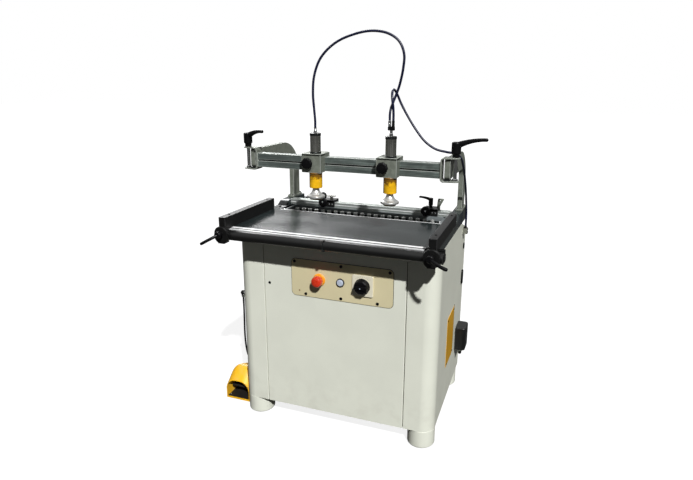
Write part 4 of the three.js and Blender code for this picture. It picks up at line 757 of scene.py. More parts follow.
def make_table():
    table = Piece("machine_table", "cabinet", "table_paint", "table_top")
    bottom, back = TOP + 0.3, 297
    table.put(block(-WIDE, WIDE, -53, back, bottom, TABLE_TOP), ENAMEL, 1.2, 3)
    # A dark skin on the table's rear face is painted shade, and the bright strip on its top edge is a painted
    # highlight.
    table.put(block(-WIDE + 1.5, WIDE - 1.5, back - 1.6, back + 1.2, bottom + 2, 878.6), DARK_GAP_AND_SHADE, 0.3)
    table.put(block(-377, 377, back - 7, back + 0.05, 877.5, TABLE_TOP + 0.12), BRIGHT_HIGHLIGHT_STRIP, 0.3)
    ramp = softened([(365, 872), (365, 880), (400, 900), (575, 900), (575, 872)], [0, 3, 14, 2, 0], 5)
    for table.mirrored in (True, False):
        table.put(block(378, WIDE, 298.6, 600, bottom, TABLE_TOP), ENAMEL, 1.2, 3)
        table.put(prism("X", ramp, 387.5, WIDE - 0.1), ENAMEL, 1, 2)
        table.turn("X", (0, 322.5, 861.5), [(16, 376.5), (16, 378.5)], GROUND_STEEL, 40)
        for y in (345, 590):
            table.put(socket_screw("Z", (404, y, TABLE_TOP), 5.5, 3, 1), BLACK_PLASTIC)
    table.done()


def rail_outline():
    grooves = [(-53.3, 833), (-53.3, 880), (-57.3, 880), (-57.3, 876), (-65.3, 876), (-65.3, 879),
               (-69.3, 879), (-69.3, 868), (-76.3, 868), (-76.3, 874.5), (-84, 874.5)]
    return grooves + arc(-91, 854.5, 20, 90, 270, 20) + [(-91, 833)]


def make_front_rail():
    rail = Piece("front_guide_rail", "cabinet", "black_paint", "front_rail")
    for x0, x1 in ((-RAIL_END, 4), (9, RAIL_END)):
        rail.put(prism("X", rail_outline(), x0, x1), BLACK_RAIL, 0.4, 2)
    rail.put(block(2, 11, -107, -55, 835, 867), DARK_GAP_AND_SHADE)
    # Two pale strips on the rail's top: painted highlight of its sunlit edges.
    rail.put(block(-442, 386, -67.5, -53.4, 878.6, TABLE_TOP + 0.15), WHITE_HIGHLIGHT_STRIP, 0.3)
    rail.put(block(-446, 384, -83.5, -72, 874.6, 877.7), BRIGHT_HIGHLIGHT_STRIP, 0.3)
    cap = softened([(-54, 838), (-54, 866), (-86, 866), (-86, 838)], 6, 4)
    for end in (RAIL_END, -RAIL_END):
        rail.put(prism("X", cap, end - 2, end + 2), BLACK_PLASTIC, 0.8)
    rail.done()


# Clamp levers
def lever_parts(hub, hub_height, root, reach, rise, arm_height, arm_width):
    """The grip of a clamp lever: a hub on z = 0 and an arm that bows up along +x to a rounded end."""
    body = lathe("Z", [(hub * 0.72, 0), (hub * 0.76, hub_height * 0.22), (hub, hub_height * 0.28),
                       (hub, hub_height - hub * 0.2), (hub * 0.86, hub_height)], sides=40, soft=hub * 0.1)
    rings = []
    tip = arm_height / 2
    for i in range(20):
        t = min(1, i / 13)
        turn = math.radians(max(0, i - 13) * 14)
        grow = math.cos(turn)
        bow = 1 - (1 - t) ** 2
        top = hub_height + rise * bow
        bottom = hub_height - root + (root + rise - arm_height) * bow
        x = (reach - tip) * t + tip * math.sin(turn)
        tall, wide = (top - bottom) / 2 * grow, arm_width / 2 * grow
        ring = []
        for k in range(24):
            c, s = math.cos(2 * math.pi * k / 24), math.sin(2 * math.pi * k / 24)
            ring.append((x, wide * math.copysign(abs(c) ** 0.75, c),
                         (top + bottom) / 2 + tall * math.copysign(abs(s) ** 0.75, s)))
        rings.append(ring)
    return body, loft(rings)


def put_lever(piece, size, matrix, stud, stud_length):
    """Adds a clamp lever of the seven sizes that lever_parts names, with its stud and collar."""
    hub, hub_height = size[:2]
    rim = [(hub * 0.4, hub_height - 1), (hub * 0.5, hub_height - 1), (hub * 0.5, hub_height + 0.15),
           (hub * 0.4, hub_height + 0.15)]
    parts = [(part, BLACK_GRIP) for part in lever_parts(*size)]
    parts.append((ring_lathe(rim, (0, 0), 32), BLACK_PLASTIC))
    if stud_length:
        parts.append((pin("Z", stud, -stud_length, 2, sides=24), GROUND_STEEL))
        parts.append((lathe("Z", [(hub * 0.7, 0), (hub * 0.7, 1.6)], sides=40, soft=0.4), STAINLESS))
    for part, finish in parts:
        piece.put(moved(part, matrix), finish)


def make_fences():
    middle, front = 419.5, -127
    for side, sign in SIDES.items():
        fence = Piece(f"{side}_fence_bar", f"{side}_fence", "black_paint", f"{side}_side_fence",
                      mirrored=sign < 0)
        bar = block(middle - 14.5, middle + 14.5, -113.3, 290, TABLE_TOP + 0.3, 930)
        fence.put(bar, BLACK_FENCE, 1.4, 2, FENCE_EDGE)
        hub = rounded_box(middle - 29.5, middle + 29.5, 826, 895, 28, 10)
        fence.put(prism("Y", hub, front, -111.3), BLACK_FENCE, 2.4, 3)
        fence.put(block(middle - 14.5, middle + 14.5, -126, -90, 826, 832.7), BLACK_FENCE, 1, 2)
        for y in (-60, 250):
            fence.put(socket_screw("Z", (middle, y, 929.8), 5, 2, 1), BLACK_PLASTIC)
        fence.done()
        lever = Piece(f"{side}_fence_clamp_lever", f"{side}_fence_clamp", "black_plastic",
                      f"{side}_fence_lever")
        swing = math.radians(-17 if sign > 0 else -150)
        matrix = (Matrix.Translation((sign * middle, front - 0.3, 866)) @ Matrix.Rotation(math.pi / 2, 4, "X")
                  @ Matrix.Rotation(swing, 4, "Z"))
        put_lever(lever, (14, 25, 17, 70, 30, 13, 12), matrix, 5, 11.7)
        lever.done()


# Arms, beam and pressers
def make_arms():
    base = 900.3
    outline = ([(486, base), (551, base)] + arc(394, 1016, 157, 0, 90, 20) + arc(144, 1161, 12, 90, 180, 6)
               + arc(144, 1107, 12, 180, 270, 6) + arc(446, 1055, 40, 90, 0, 10))
    for side, sign in SIDES.items():
        arm = Piece(f"{side}_post_arm", "cabinet", "galvanised", f"{side}_arm", mirrored=sign < 0)
        arm.put(prism("X", outline, 402, 424), ZINC, 1.4, 2, ZINC_EDGE_HIGHLIGHT)
        arm.put(prism("Z", rounded_box(396.5, 429.5, 470, 567, 4), base, base + 8), ZINC, 0.8, 2, ZINC_EDGE_HIGHLIGHT)
        for y in (477.5, 559.5):
            for x in (404, 422):
                arm.put(hexagon_bolt("Z", (x, y, base + 8), 8, 5.3), GROUND_STEEL)
        arm.done()


def beam_outline():
    return [(125, 1098), (165, 1098), (165, 1156), (148, 1156), (148, 1148), (142, 1148),
            (142, 1156), (125, 1156), (125, 1130), (133, 1130), (133, 1124), (125, 1124)]


def strap(path, thickness, half_width):
    """A bent strap: the path lies in x and z, and half_width is a rule for its points."""
    part = folded_sheet(path, thickness, lambda point: -half_width(point), half_width)
    return moved(part, Matrix(((1, 0, 0, 0), (0, 0, 1, BEAM_MIDDLE), (0, 1, 0, 0), (0, 0, 0, 1))))


def saddle_half(point):
    """Half the width of a saddle's strap: wide at the bend, narrow and round at the stud."""
    out = point[0] - STUD_X
    if out > 0:
        return math.sqrt(max(18 ** 2 - out ** 2, 1))
    return 26 - 8 * min(1, max(0, (out + 40) / 40))


def make_beam():
    beam = Piece("cross_beam", "beam", "galvanised", "presser_beam")
    end = 388
    beam.put(prism("X", beam_outline(), -end - 1, end + 1), DRAWN_BAR, 1.5, 2, ZINC_EDGE_HIGHLIGHT)
    # Dark strips in the floors of the two grooves: painted shade.
    beam.put(block(-end, end, 132.4, 134, 1123, 1131), DARK_GAP_AND_SHADE)
    beam.put(block(-end, end, 141, 149, 1147.4, 1149), DARK_GAP_AND_SHADE)
    round_end = [(STUD_X + 18 * math.sin(t), 18 * math.cos(t)) for t in map(math.radians, range(80, -1, -10))]
    upper = [(x, SADDLE_TOP) for x, _ in round_end] + [(421, SADDLE_TOP)]
    upper += arc(401, SADDLE_TOP - 13, 13, 90, 180, 8)
    lower = [(x, 2 * 1131.65 - z) for x, z in reversed(upper)]
    nut = [(7.6, 1090.1), (12, 1090.1), (12, 1097), (11, 1098), (7.6, 1098)]
    for beam.mirrored in (True, False):
        beam.put(strap(upper + lower, 5, saddle_half), ZINC, 0.8, 2, ZINC_EDGE_HIGHLIGHT)
        # A pale plate on the beam's end: painted highlight along the end.
        beam.put(block(end - 2.4, end + 0.2, 124.5, 165.5, 1099, 1156.4), ZINC_EDGE_HIGHLIGHT, 0.4)
        # A dark block under the beam's end, round the arm's nose: painted shade.
        beam.put(block(402, 424, 127, 163, 1087.5, 1094.7), DARK_GAP_AND_SHADE, 0.6)
        beam.put(ring_lathe(nut, (STUD_X, BEAM_MIDDLE), 6), CHROME)
    beam.done()
    for side, sign in SIDES.items():
        lever = Piece(f"{side}_saddle_clamp_lever", f"{side}_saddle_clamp", "black_plastic",
                      f"{side}_saddle_lever")
        turn = Matrix.Rotation(math.radians(-28 if sign < 0 else 0), 4, "Z")
        matrix = Matrix.Translation((sign * STUD_X, BEAM_MIDDLE, SADDLE_TOP + 0.3)) @ turn
        put_lever(lever, (18, 58, 30, 115, 18, 13, 15), matrix, 7, 93.3)
        lever.done()


def make_presser_bracket(side, x, y):
    """The bracket on the beam with its air cylinder, coloured sleeve and fittings."""
    carriage = Piece(f"{side}_presser_bracket", f"{side}_carriage", "galvanised", f"{side}_presser_carriage")
    low, high = x - 52, x + 30
    carriage.put(block(low, high, 77.7, 124.7, BRACKET_BOTTOM, 1170), ZINC, 1.6, 2, ZINC_EDGE_HIGHLIGHT)
    carriage.put(block(low, high, 77.7, 172.3, 1162, 1172), ZINC, 1.6, 2, ZINC_EDGE_HIGHLIGHT)
    carriage.put(block(low, high, 165.3, 172.3, 1136, 1170), ZINC, 1.2, 2, ZINC_EDGE_HIGHLIGHT)
    carriage.put(block(low + 1, high - 1, 122, 168, 1156.4, 1163), ZINC, 0.6)
    turned = [
        ([(21, 1170), (21, CYLINDER_TOP)], 64, 0.8, STAINLESS),
        ([(22.4, 1172), (22.4, 1178), (20, 1179)], 64, 0.6, DARK_BAND),
        ([(22.4, 1242), (22.4, 1247.4), (21.6, 1248), (22.4, 1248.6), (22.4, 1251), (20, 1252.1)],
         64, 0, DARK_BAND),
        ([(26, 1034.2), (26, BRACKET_BOTTOM + 0.5)], 64, 2.2, AMBER),
        ([(26.15, 1090), (26.15, 1092)], 64, 0.4, DARK_BAND)]
    if side == "left":
        barbs = [(5.4 - 0.5 * (k % 2), 1262.6 + k * 0.8) for k in range(8)]
        turned += [
            ([(9, CYLINDER_TOP), (9, 1254)], 48, 0.4, CHROME),
            ([(7, 1254), (7, 1262)], 6, 0.6, CHROME),
            ([(5.4, 1262), *barbs, (5.6, 1270), (5.6, 1273.4), (3.6, 1274)], 32, 0, CHROME)]
    else:
        turned.append(([(7, CYLINDER_TOP), (7, 1262), (5.5, 1262.5), (5.5, 1273.5)], 32, 0.5, CHROME))
    for profile, sides, soft, finish in turned:
        carriage.put(lathe("Z", profile, (x, y, 0), sides, soft), finish)
    if side == "right":
        carriage.put(block(x - 13, x + 13, y - 6.5, y + 6.5, 1273, 1288), BLACK_PLASTIC, 2.2, 3)
        port = [(5.6, 1287), (5.6, 1298), (5, 1299), (5.6, 1300), (5.6, 1309), (4.8, 1310)]
        for dx, finish in ((-7, CHROME), (7, BLACK_PLASTIC)):
            carriage.put(lathe("Z", port, (x + dx, y, 0), 28, 0.5), finish)
    carriage.done()


def make_presser_foot(side, x, y):
    """The bell on its rod and piston, with a rubber pad under it."""
    foot = Piece(f"{side}_presser_bell", f"{side}_foot", "bright_aluminium", f"{side}_presser_foot")
    bell = [(35, 993.8), (36, 995.2), (36, 1001), (34, 1002.8), (26.5, 1007), (18.5, 1015), (14, 1023),
            (13, 1030), (6, 1030)]
    for profile, sides, soft, finish in (
            ([(23.6, 986), (30, 994.4)], 72, 1.2, TAN_RUBBER),
            (bell, 96, 0.9, TURNED_ALUMINIUM),
            ([(6, 1029), (6, 1233), (15.4, 1233), (15.4, 1243.7)], 40, 0.4, CHROME),
            ([(9, 1030), (9, 1033.6)], 6, 0.5, GROUND_STEEL)):
        foot.put(lathe("Z", profile, (x, y, 0), sides, soft), finish)
    foot.done()


def make_presser_knob(side, x):
    """The fluted knob that clamps the bracket on the beam."""
    knob = Piece(f"{side}_presser_clamp_knob", f"{side}_knob", "black_plastic", f"{side}_presser_knob")
    centre = (x - 24, 0, 1134)
    grip = [(17, 59.4), (22, 61.5), (23, 65), (23, 71), (20, 74.5), (9, 77.4)]
    knob.put(lathe("Y", grip, centre, 72, 1.4, lobes=9, lobe_depth=1.6), BLACK_GRIP)
    knob.put(lathe("Y", [(8, 59), (8, 60.2)], centre, 32, 0.3), BLACK_PLASTIC)
    knob.put(pin("Y", 4, 77, 89.9, centre, 24), GROUND_STEEL)
    knob.done()


def make_pressers():
    for side, x in (("left", -110), ("right", 201)):
        make_presser_bracket(side, x, Y_PRESSER)
        make_presser_foot(side, x, Y_PRESSER)
        make_presser_knob(side, x)


# Head, motor and tilting frame
def make_spindles():
    rim = [(4.6, 864), (9.05, 864), (9.05, 870.4), (8.4, 871), (8.4, 872.4), (9.05, 873), (9.05, 876.6),
           (7.6, 878.2), (5.4, 878.2), (4.6, 877.4)]
    grub = [(2.2, ROW - 8), (2.2, ROW - 9.15), (1.2, ROW - 9.3), (0, ROW - 9)]
    for i in range(21):
        x = (i - 10) * 32
        name = f"spindle_{i + 1:02d}"
        chuck = Piece(f"drill_chuck_{i + 1:02d}", name, "spindle_steel")
        chuck.put(ring_lathe(rim, (x, ROW), 40), CHUCK_STEEL)
        # A dark disc at the bottom of the chuck's bore: painted shade.
        chuck.turn("Z", (x, ROW, 0), [(4.9, 863.6), (4.9, 865)], DARK_GAP_AND_SHADE, 24)
        chuck.turn("Y", (x, 0, 867.4), grub, BLACK_PLASTIC, 16)
        chuck.done()
        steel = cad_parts[name]
        steel.data.materials.clear()
        steel.data.materials.append(GROUND_STEEL)


def make_head():
    head = Piece("gear_housing", "head", "cast_grey", "boring_head")
    front, back = 321, 391
    head.put(block(-348, 348, front, back, HEAD_BOTTOM, 838.5), CAST_GREY, 3.5, 3)
    head.put(block(-347, 347, front + 1, back - 1, 838, HEAD_TOP), CAST_GREY, 2, 3)
    # A dark sheet round the chucks and a dark strip behind them: painted shade in the slot under the table.
    head.put(block(-340, 340, 344, 368, HEAD_TOP - 1, HEAD_TOP + 0.15), DARK_GAP_AND_SHADE)
    head.put(block(-345, 345, back - 5.5, back - 0.5, HEAD_TOP - 1, 866), DARK_GAP_AND_SHADE, 1, 2)
    rod = [(18.5, 632.5), (18.5, 642.5), (7, 642.5), (7, 752)]
    for sign in (-1, 1):
        for x, top in ((sign * GUIDE_X, HEAD_TOP), (sign * FEED_X, 838)):
            head.put(block(x - 22, x + 22, 386, 431, HEAD_BOTTOM + 0.2, top), CAST_GREY, 3, 3)
        head.turn("Z", (sign * FEED_X, GUIDE_Y, 0), rod, GROUND_STEEL, 40, 0.5)
        head.turn("Z", (sign * FEED_X, GUIDE_Y, 0), [(11, 736), (11, 740.4)], GROUND_STEEL, 6, 0.5)
        bush = [(10.3, HEAD_TOP), (16, HEAD_TOP), (16, HEAD_TOP + 0.2), (10.3, HEAD_TOP + 0.2)]
        head.put(ring_lathe(bush, (sign * GUIDE_X, GUIDE_Y), 40), DARK_GAP_AND_SHADE)
    for x in range(-330, 331, 66):
        for y in (front + 8, back - 8):
            head.put(socket_screw("Z", (x, y, HEAD_TOP - 0.2), 4, 2, 1), BLACK_PLASTIC)
    head.done()


def make_motor():
    motor = Piece("geared_motor", "head", "cast_grey", "drive_motor")
    centre = (0, ROW, 0)
    motor.put(prism("Z", rounded_box(-64, 64, 321, 391, 6), 725.7, HEAD_BOTTOM - 0.3), MOTOR_GREY, 1.5)
    motor.turn("Z", centre, [(57.5, 559), (57.5, 727)], MOTOR_GREY, 72, 1)
    fin = prism("Z", softened([(0, -1.6), (7, -1.2), (7, 1.2), (0, 1.6)], [0, 1, 1, 0], 3), 562, 723)
    motor.put(repeated("motor_fins", fin, 36, 57, "ring", MOTOR_GREY, centre), MOTOR_GREY)
    cowl = [(46, 515.7), (60, 522), (66, 534), (66, 560.5), (62, 562)]
    motor.turn("Z", centre, cowl, MOTOR_GREY, 72, 3)
    slit = block(-1.6, 1.6, -9, 9, 515.2, 516.4)
    motor.put(repeated("cowl_slots", slit, 18, 30, "ring", DARK_GAP_AND_SHADE, centre), DARK_GAP_AND_SHADE)
    motor.put(block(-35, 35, 275, 310, 586, 666), MOTOR_GREY, 2.5, 3)
    motor.put(block(-36, 36, 275.1, 279, 585, 667), MOTOR_GREY, 1.5, 2)
    for x in (-29, 29):
        for z in (592, 660):
            motor.turn("Y", (x, 0, z), [(3.4, 275.6), (3.4, 275.05)], BLACK_PLASTIC, 20)
    motor.done()


def make_tilt_frame():
    tilt = Piece("tilting_carrier", "tilting_frame", "cast_grey", "tilt_frame")
    low, high, back = 648.5, 875.5, 440.5
    side = [(336.5, low), (back, low), (back, high), (314.5, high), (306.5, 867.5), (306.5, 678.5)]
    barrel = [(24, 518.5), (24, 530), (22.6, 531), (22.6, 638), (24, 639), (24, 649)]
    for tilt.mirrored in (True, False):
        tilt.put(prism("X", softened(side, [6, 4, 4, 5, 5, 6], 4), 357, 369), CAST_GREY, 1.2, 2)
        pivot = [(14, 368), (14, 374), (9, 374.6), (9, 391.4)]
        tilt.turn("X", (0, 322.5, 861.5), pivot, GROUND_STEEL, 40, 0.5)
        tilt.put(pin("Z", 10, low + 2, high - 2, (GUIDE_X, GUIDE_Y, 0), 40), GROUND_STEEL)
        for z in (672, 852):
            tilt.put(hexagon_bolt("X", (369, GUIDE_Y, z), 10, 5), GROUND_STEEL)
        tilt.turn("Z", (FEED_X, GUIDE_Y, 0), barrel, TURNED_ALUMINIUM, 64, 0.8)
        tilt.turn("Z", (FEED_X, GUIDE_Y, 0), [(12, 660), (12, 661)], DARK_GAP_AND_SHADE, 40)
        for z in (526, 643):
            tilt.turn("Y", (FEED_X, 0, z), [(5.5, 432), (5.5, 434.9), (3, 435), (0, 433)], CHROME, 6)
    tilt.put(block(-358, 358, 396, 426, high - 12, high), CAST_GREY, 1, 2)
    tilt.put(block(-358, 358, 398, back, 873, 880.7), CAST_GREY, 1, 2)
    lower = [(-358, 396), (-76, 396), (-76, 425), (76, 425), (76, 396), (358, 396), (358, back), (-358, back)]
    tilt.put(prism("Z", lower, low, low + 12), CAST_GREY, 1, 2)
    tilt.done()


def make_rear_rail():
    rail = Piece("rear_guide_rail", "tilting_frame", "bright_aluminium", "rear_fence_rail")
    front, back, low, high = 415, 455, 881, 903
    outline = [(front, low), (back, low), (back, high), (439, high), (439, 895), (431, 895), (431, high),
               (front, high), (front, 894.5), (416.2, 894), (416.2, 891), (front, 890.5)]
    # Its rounded-off edges take a painted highlight, and a dark strip in the slot's floor is painted shade.
    rail.put(prism("X", outline, -385, 385), RAIL_ALUMINIUM, 0.7, 2, BRIGHT_HIGHLIGHT_STRIP)
    rail.put(block(-384, 384, 430.4, 439.6, 894.2, 895.2), DARK_GAP_AND_SHADE)
    rail.done()


def make_stops():
    for side, x in (("left", -188), ("right", 300)):
        stop = Piece(f"{side}_flip_stop", f"{side}_stop", "black_paint", f"{side}_stop_block")
        low, high = x - 32, x + 32
        stop.put(block(low, high, 405, 463.3, 903.3, 915), BLACK_FENCE, 1.6, 2, FENCE_EDGE)
        stop.put(block(low, high, 405, 414.7, 883, 914), BLACK_FENCE, 1.4, 2, FENCE_EDGE)
        stop.put(block(low, high, 455.3, 463.3, 883, 914), BLACK_FENCE, 1.2, 2)
        stop.put(pin("Y", 4, 390.4, 407, (x - 21, 0, 905), 24), CHROME)
        for dx in (8, 22):
            stop.put(socket_screw("Y", (x + dx, 405, 896), 3.4, 2.2, -1), GROUND_STEEL)
        if side == "right":
            matrix = Matrix.Translation((x - 6, 435, 913)) @ Matrix.Rotation(math.pi, 4, "Z")
            put_lever(stop, (10, 44, 16, 54, 6, 9, 11), matrix, 4, 0)
            gusset = softened([(x + 22, 913), (high, 913), (x + 54, 957), (x + 26, 957)], [0, 0, 5, 3], 4)
            stop.put(prism("Y", gusset, 430, 440), ZINC, 0.8, 2, ZINC_EDGE_HIGHLIGHT)
            stop.put(socket_screw("Y", (x + 36, 430, 946), 4, 2, -1), GROUND_STEEL)
        else:
            stop.put(block(x + 4, x + 10, 424, 446, 913, 931), STAINLESS, 0.8, 2)
            stop.put(prism("Z", rounded_box(x - 12, x + 26, 424, 446, 5), 927, 931), STAINLESS, 0.7, 2)
            knob = [(14, 410), (17.5, 413), (17.5, 421), (15, 424), (7, 425), (7, 435)]
            stop.put(lathe("Y", knob, (x - 27.5, 0, 931), 48, 1.2, lobes=8, lobe_depth=1.2), BLACK_GRIP)
        stop.done()
        make_finger(side, x - 21)


def make_finger(side, x):
    """The flip finger: a ring on the stop's pin with a nose that meets the board."""
    finger = Piece(f"{side}_flip_finger", f"{side}_finger", "black_plastic", f"{side}_stop_finger")
    ring = [(4.35, 390.7), (18.8, 390.7), (20, 391.9), (20, 403.5), (18.8, 404.7), (4.35, 404.7)]
    finger.put(ring_part((x, 905), ring, 56), BLACK_GRIP)
    nose = softened([(x - 8, 883), (x + 8, 883), (x + 8, 893), (x - 8, 893)], [3, 3, 0, 0], 4)
    finger.put(prism("Y", nose, 390.9, 404.5), BLACK_GRIP, 0.8, 2)
    finger.done()


# Controls, isolator and pedal
def make_control_panel():
    """The beige plate with the seats of its three controls and its screws."""
    panel = Piece("control_panel", "cabinet", "beige_plate", "control_plate")
    face = PLATE_FACE
    # A dark rim round the plate: the gap behind its edge, darkened further as painted shadow.
    panel.put(prism("Y", rounded_box(-178.8, 254.8, 599.2, 759.8, 19.8, 10), -1, -0.3), DARK_GAP_AND_SHADE)
    panel.put(prism("Y", rounded_box(-177, 253, 601, 758, 18, 10), face, -0.6), BEIGE, 0.7, 2)
    collar = [(9, 0), (26, 0), (26, face - 2.5), (22, face - 5), (9, face - 5)]
    panel.put(ring_part((STOP_X, CONTROL_HEIGHT), collar, 64), STOP_ORANGE)
    bezel = [(14.1, 0), (17, 0), (17, face - 4), (16, face - 5), (14.7, face - 5), (14.1, face - 4)]
    panel.put(ring_part((START_X, CONTROL_HEIGHT), bezel, 56), BLACK_PLASTIC)
    panel.put(prism("Y", rounded_box(87, 173, 637, 723, 6, 6), face - 6, -2), SELECTOR_CREAM, 1.4, 3)
    for reach, z in ((201, 747), (153, 612)):
        screw = socket_screw("Y", (0, 0, 0), 6.2, 2.4, -1)
        panel.put(repeated("panel_screws", screw, 3, reach * 2, "row", BLACK_PLASTIC, (38, face, z)),
                  BLACK_PLASTIC)
    panel.turn("Y", (-143, 0, 624), [(3.6, face + 1), (3.6, face - 0.6), (0, face - 0.9)], TAN_RUBBER, 20)
    for x, z in arc(SELECTOR_X, CONTROL_HEIGHT, 38, 45, 135, 8):
        panel.put(pin("Y", 0.9, face - 6.25, face - 5.5, (x, 0, z), 12, 0), DARK_GAP_AND_SHADE)
    panel.done()


def make_controls():
    make_control_panel()
    stop = Piece("emergency_stop_mushroom", "emergency_stop", "red_plastic", "estop_button")
    seat = PLATE_FACE - 5
    mushroom = [(0, seat - 34), (12, seat - 33.5), (19, seat - 31), (22, seat - 26), (22, seat - 10),
                (20, seat - 9), (10, seat - 9), (8, seat - 8), (8, -8)]
    stop.turn("Y", (STOP_X, 0, CONTROL_HEIGHT), mushroom, STOP_RED, 64, 1.4)
    stop.done()

    start = Piece("start_push_button", "start", "pale_plastic", "start_button")
    lens = [(0, PLATE_FACE - 9), (10.5, PLATE_FACE - 8.8), (13.5, PLATE_FACE - 7), (13.5, -6)]
    start.turn("Y", (START_X, 0, CONTROL_HEIGHT), lens, PALE_LENS, 48, 0.8)
    start.done()

    knob = Piece("selector_grip", "selector", "black_plastic", "selector_knob")
    centre, back = (SELECTOR_X, 0, CONTROL_HEIGHT), PLATE_FACE - 6.3
    skirt = [(31, back - 8), (32, back - 7), (32, back - 2), (12, back), (6, back), (6, -0.3)]
    knob.turn("Y", centre, skirt, BLACK_PLASTIC, 72, 1)
    grip = [(24, back - 24), (28, back - 22), (30.5, back - 9), (30.5, back - 7)]
    knob.put(lathe("Y", grip, centre, 96, 1.6, lobes=10, lobe_depth=1.6), BLACK_GRIP)
    knob.put(block(104.4, 155.6, back - 30, back - 22, 673.5, 686.5), BLACK_GRIP, 2.2, 3)
    knob.turn("Y", centre, [(2.4, back - 29), (2.4, back - 30.1), (0, back - 30.3)], PALE_LENS, 20)
    knob.done()


def make_isolator():
    box = Piece("main_isolator", "cabinet", "black_plastic", "isolator_box")
    wall, face, middle = WIDE + 0.3, 479, 500
    side = [(wall, middle - 45), (466, middle - 45)] + arc(466.3, middle - 31, 14, -90, 0, 8)
    side += arc(466.3, middle + 31, 14, 0, 90, 8) + [(wall, middle + 45)]
    box.put(prism("Z", side, 232, 345), BLACK_RAIL, 9, 5)
    for z in (262, 315):
        box.put(prism("X", rounded_box(middle - 30, middle + 30, z - 12, z + 12, 4), face, face + 1.6),
                BLACK_GRIP, 0.6)
    box.put(block(452, 453.2, middle - 45.4, middle + 45.2, 233, 344), DARK_GAP_AND_SHADE)
    box.turn("X", (0, middle, 289), [(19, face), (19, face + 1.2)], STOP_RED)
    for y in (middle - 22, middle + 22):
        gland = [(6, 206), (8.6, 210), (8.6, 220), (9, 221), (9, 233)]
        box.turn("Z", (455.3, y, 0), gland, BLACK_PLASTIC, 32, 0.8)
        box.turn("Z", (455.3, y, 0), [(10.4, 221), (10.4, 227)], RAIL_ALUMINIUM, 6, 0.6)
    box.done()


def hood_section(y, inset, bottom, top):
    """The arch of the pedal guard at y, under a roof whose height falls to the nose and to the back."""
    half, roof = 61 - inset, top - inset
    corner = min(50 - inset, roof - 30)
    return [(PEDAL_X - half, y, bottom), (PEDAL_X + half, y, bottom)] + [
        (PEDAL_X + a, y, b) for a, b in arc(half - corner, roof - corner, corner, 0, 90, 10)
        + arc(-half + corner, roof - corner, corner, 90, 180, 10)]


def skin(rings, start=0, ends=()):
    """A mesh between rings of points, from point start on, with a face over each ring that ends names."""
    part = bmesh.new()
    rows = [[part.verts.new(p) for p in ring] for ring in rings]
    count = len(rows[0])
    for low, high in zip(rows, rows[1:]):
        for i in range(start, count if start == 0 else count - 1):
            j = (i + 1) % count
            part.faces.new((low[i], low[j], high[j], high[i]))
    for end in ends:
        part.faces.new(rows[end])
    return part


def make_guard():
    guard = Piece("pedal_hood", "cabinet", "yellow_paint", "pedal_guard")
    ridge = softened([(61, 98), (123, 150), (258, 91.3), (261, 88)], [0, 22, 2, 0], 8, closed=False)
    outer = [hood_section(y, 0, 0, top) for y, top in ridge]
    inner = [hood_section(y, 4, 7, top) for y, top in ridge if y < 256] + [hood_section(257, 4, 7, 91)]
    guard.put(skin([*reversed(inner), *outer], ends=(0, -1)), PEDAL_YELLOW)
    guard.put(block(PEDAL_X - 57, PEDAL_X + 57, 64, 250, 7.2, 9), PEDAL_DARK, 0.5)
    shrink = 0.012
    lining = [[(x + (PEDAL_X - x) * shrink, y, z + (60 - z) * shrink) for x, y, z in ring]
              for ring in inner[1:]]
    liner = skin(lining, start=2, ends=(-1,))
    bmesh.ops.solidify(liner, geom=liner.faces, thickness=0.6)
    guard.put(liner, PEDAL_DARK)
    for sign in (-1, 1):
        near, far = sorted((sign * 47, sign * 59))
        guard.put(pin("X", 10, near, far, (PEDAL_X, HINGE_Y, 40), 32), PEDAL_DARK)
        guard.turn("X", (PEDAL_X, HINGE_Y, 40), [(8, sign * 60.4), (8, sign * 60.9)], GROUND_STEEL, 32)
        for y in (80, 240):
            guard.put(socket_screw("Z", (PEDAL_X + sign * 50, y, 9), 4, 2.5, 1), GROUND_STEEL)
    guard.turn("Y", (PEDAL_X, 0, 28), [(11, 259), (11, 262), (8, 263), (8, 271)], CHROME, 32, 0.8)
    guard.done()


def make_pedal():
    make_guard()
    step = Piece("pedal_step", "treadle", "black_plastic", "pedal_treadle")
    outline = [(89, 49), (89, 58), (HINGE_Y, 47), (216, 40), (HINGE_Y, 33)]
    step.put(prism("X", softened(outline, [2, 3, 3, 2, 2], 4), PEDAL_X - 46, PEDAL_X + 46), PEDAL_DARK, 1, 2)
    for y in range(97, 170, 9):
        z = 58 - (y - 89) * 11 / 122
        rib = [(y, z - 1), (y + 4, z - 1.4), (y + 3.4, z), (y + 0.8, z + 0.3)]
        step.put(prism("X", rib, PEDAL_X - 42, PEDAL_X + 42), BLACK_GRIP)
    step.put(pin("X", 5, PEDAL_X - 50.7, PEDAL_X + 50.7, (0, HINGE_Y, 40), 24), GROUND_STEEL)
    step.done()


for make in (make_weldment, make_shells, make_front_panel, make_table, make_front_rail, make_fences,
             make_arms, make_beam, make_pressers, make_spindles, make_head, make_motor, make_tilt_frame,
             make_rear_rail, make_stops, make_controls, make_isolator, make_pedal):
    make()


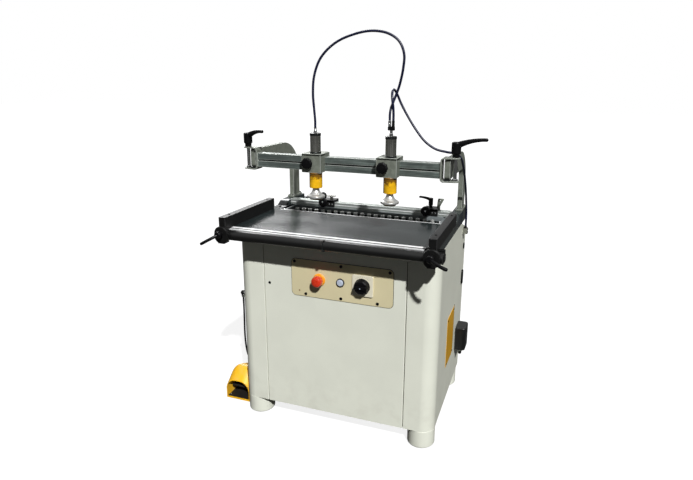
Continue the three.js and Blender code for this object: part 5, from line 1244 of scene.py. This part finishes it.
# Studio
def make_floor():
    shape = bpy.data.meshes.new("studio_floor")
    reach = 30
    corners = [(-reach, -reach, 0), (reach, -reach, 0), (reach, reach, 0), (-reach, reach, 0)]
    shape.from_pydata(corners, [], [(0, 1, 2, 3)])
    floor = bpy.data.objects.new("studio_floor", shape)
    floor.location.z = -0.0005
    bpy.context.collection.objects.link(floor)
    material = bpy.data.materials.new("studio_floor")
    material.use_nodes = True
    tree = Tree(material.node_tree)
    plain = tree.add("ShaderNodeBsdfDiffuse", inputs={"Color": (0.06, 0.06, 0.058, 1)})
    paper = tree.add("ShaderNodeBsdfDiffuse", inputs={"Color": (0.24, 0.24, 0.24, 1)})
    glow = tree.add("ShaderNodeEmission", inputs={"Color": (1, 1, 1, 1), "Strength": 0.84})
    seen = tree.add("ShaderNodeAddShader", inputs={0: paper, 1: glow})
    by_camera = tree.add("ShaderNodeLightPath", out="Is Camera Ray")
    mixed = tree.add("ShaderNodeMixShader", inputs={0: by_camera, 1: plain, 2: seen})
    tree.add("ShaderNodeOutputMaterial", inputs={"Surface": mixed})
    shape.materials.append(material)


def make_light():
    """A weak even sky, a brighter one that metal mirrors, a white backdrop, the sun and a soft back light."""
    world = bpy.data.worlds.new("studio")
    bpy.context.scene.world = world
    world.use_nodes = True
    tree = Tree(world.node_tree)
    place = tree.add("ShaderNodeTexCoord", out="Generated")
    up = tree.add("ShaderNodeSeparateXYZ", inputs={0: place}, out="Z")
    sky = tree.add("ShaderNodeMapRange", inputs={
        "Value": up, "From Min": -0.1, "To Min": 0.10, "To Max": 0.80})
    last, mirrored, backdrop = (tree.add("ShaderNodeBackground", inputs={
        "Color": (1, 1, 1, 1), "Strength": strength}) for strength in (0.035, sky, 1.0))
    for ray, shown in (("Is Glossy Ray", mirrored), ("Is Transmission Ray", mirrored),
                       ("Is Camera Ray", backdrop)):
        seen = tree.add("ShaderNodeLightPath", out=ray)
        last = tree.add("ShaderNodeMixShader", inputs={0: seen, 1: last, 2: shown})
    tree.add("ShaderNodeOutputWorld", inputs={"Surface": last})
    for name, energy, softness, towards in (("sun", 4.4, 1.6, (0.42, -0.595, 0.685)),
                                            ("back_light", 1.3, 25, (-0.45, 0.70, 0.50))):
        sun = bpy.data.objects.new(name, bpy.data.lights.new(name, "SUN"))
        sun.data.energy = energy
        sun.data.angle = math.radians(softness)
        sun.rotation_euler = Vector(towards).to_track_quat("Z", "Y").to_euler()
        bpy.context.collection.objects.link(sun)


make_floor()
make_light()
bpy.context.scene.view_settings.view_transform = "Standard"
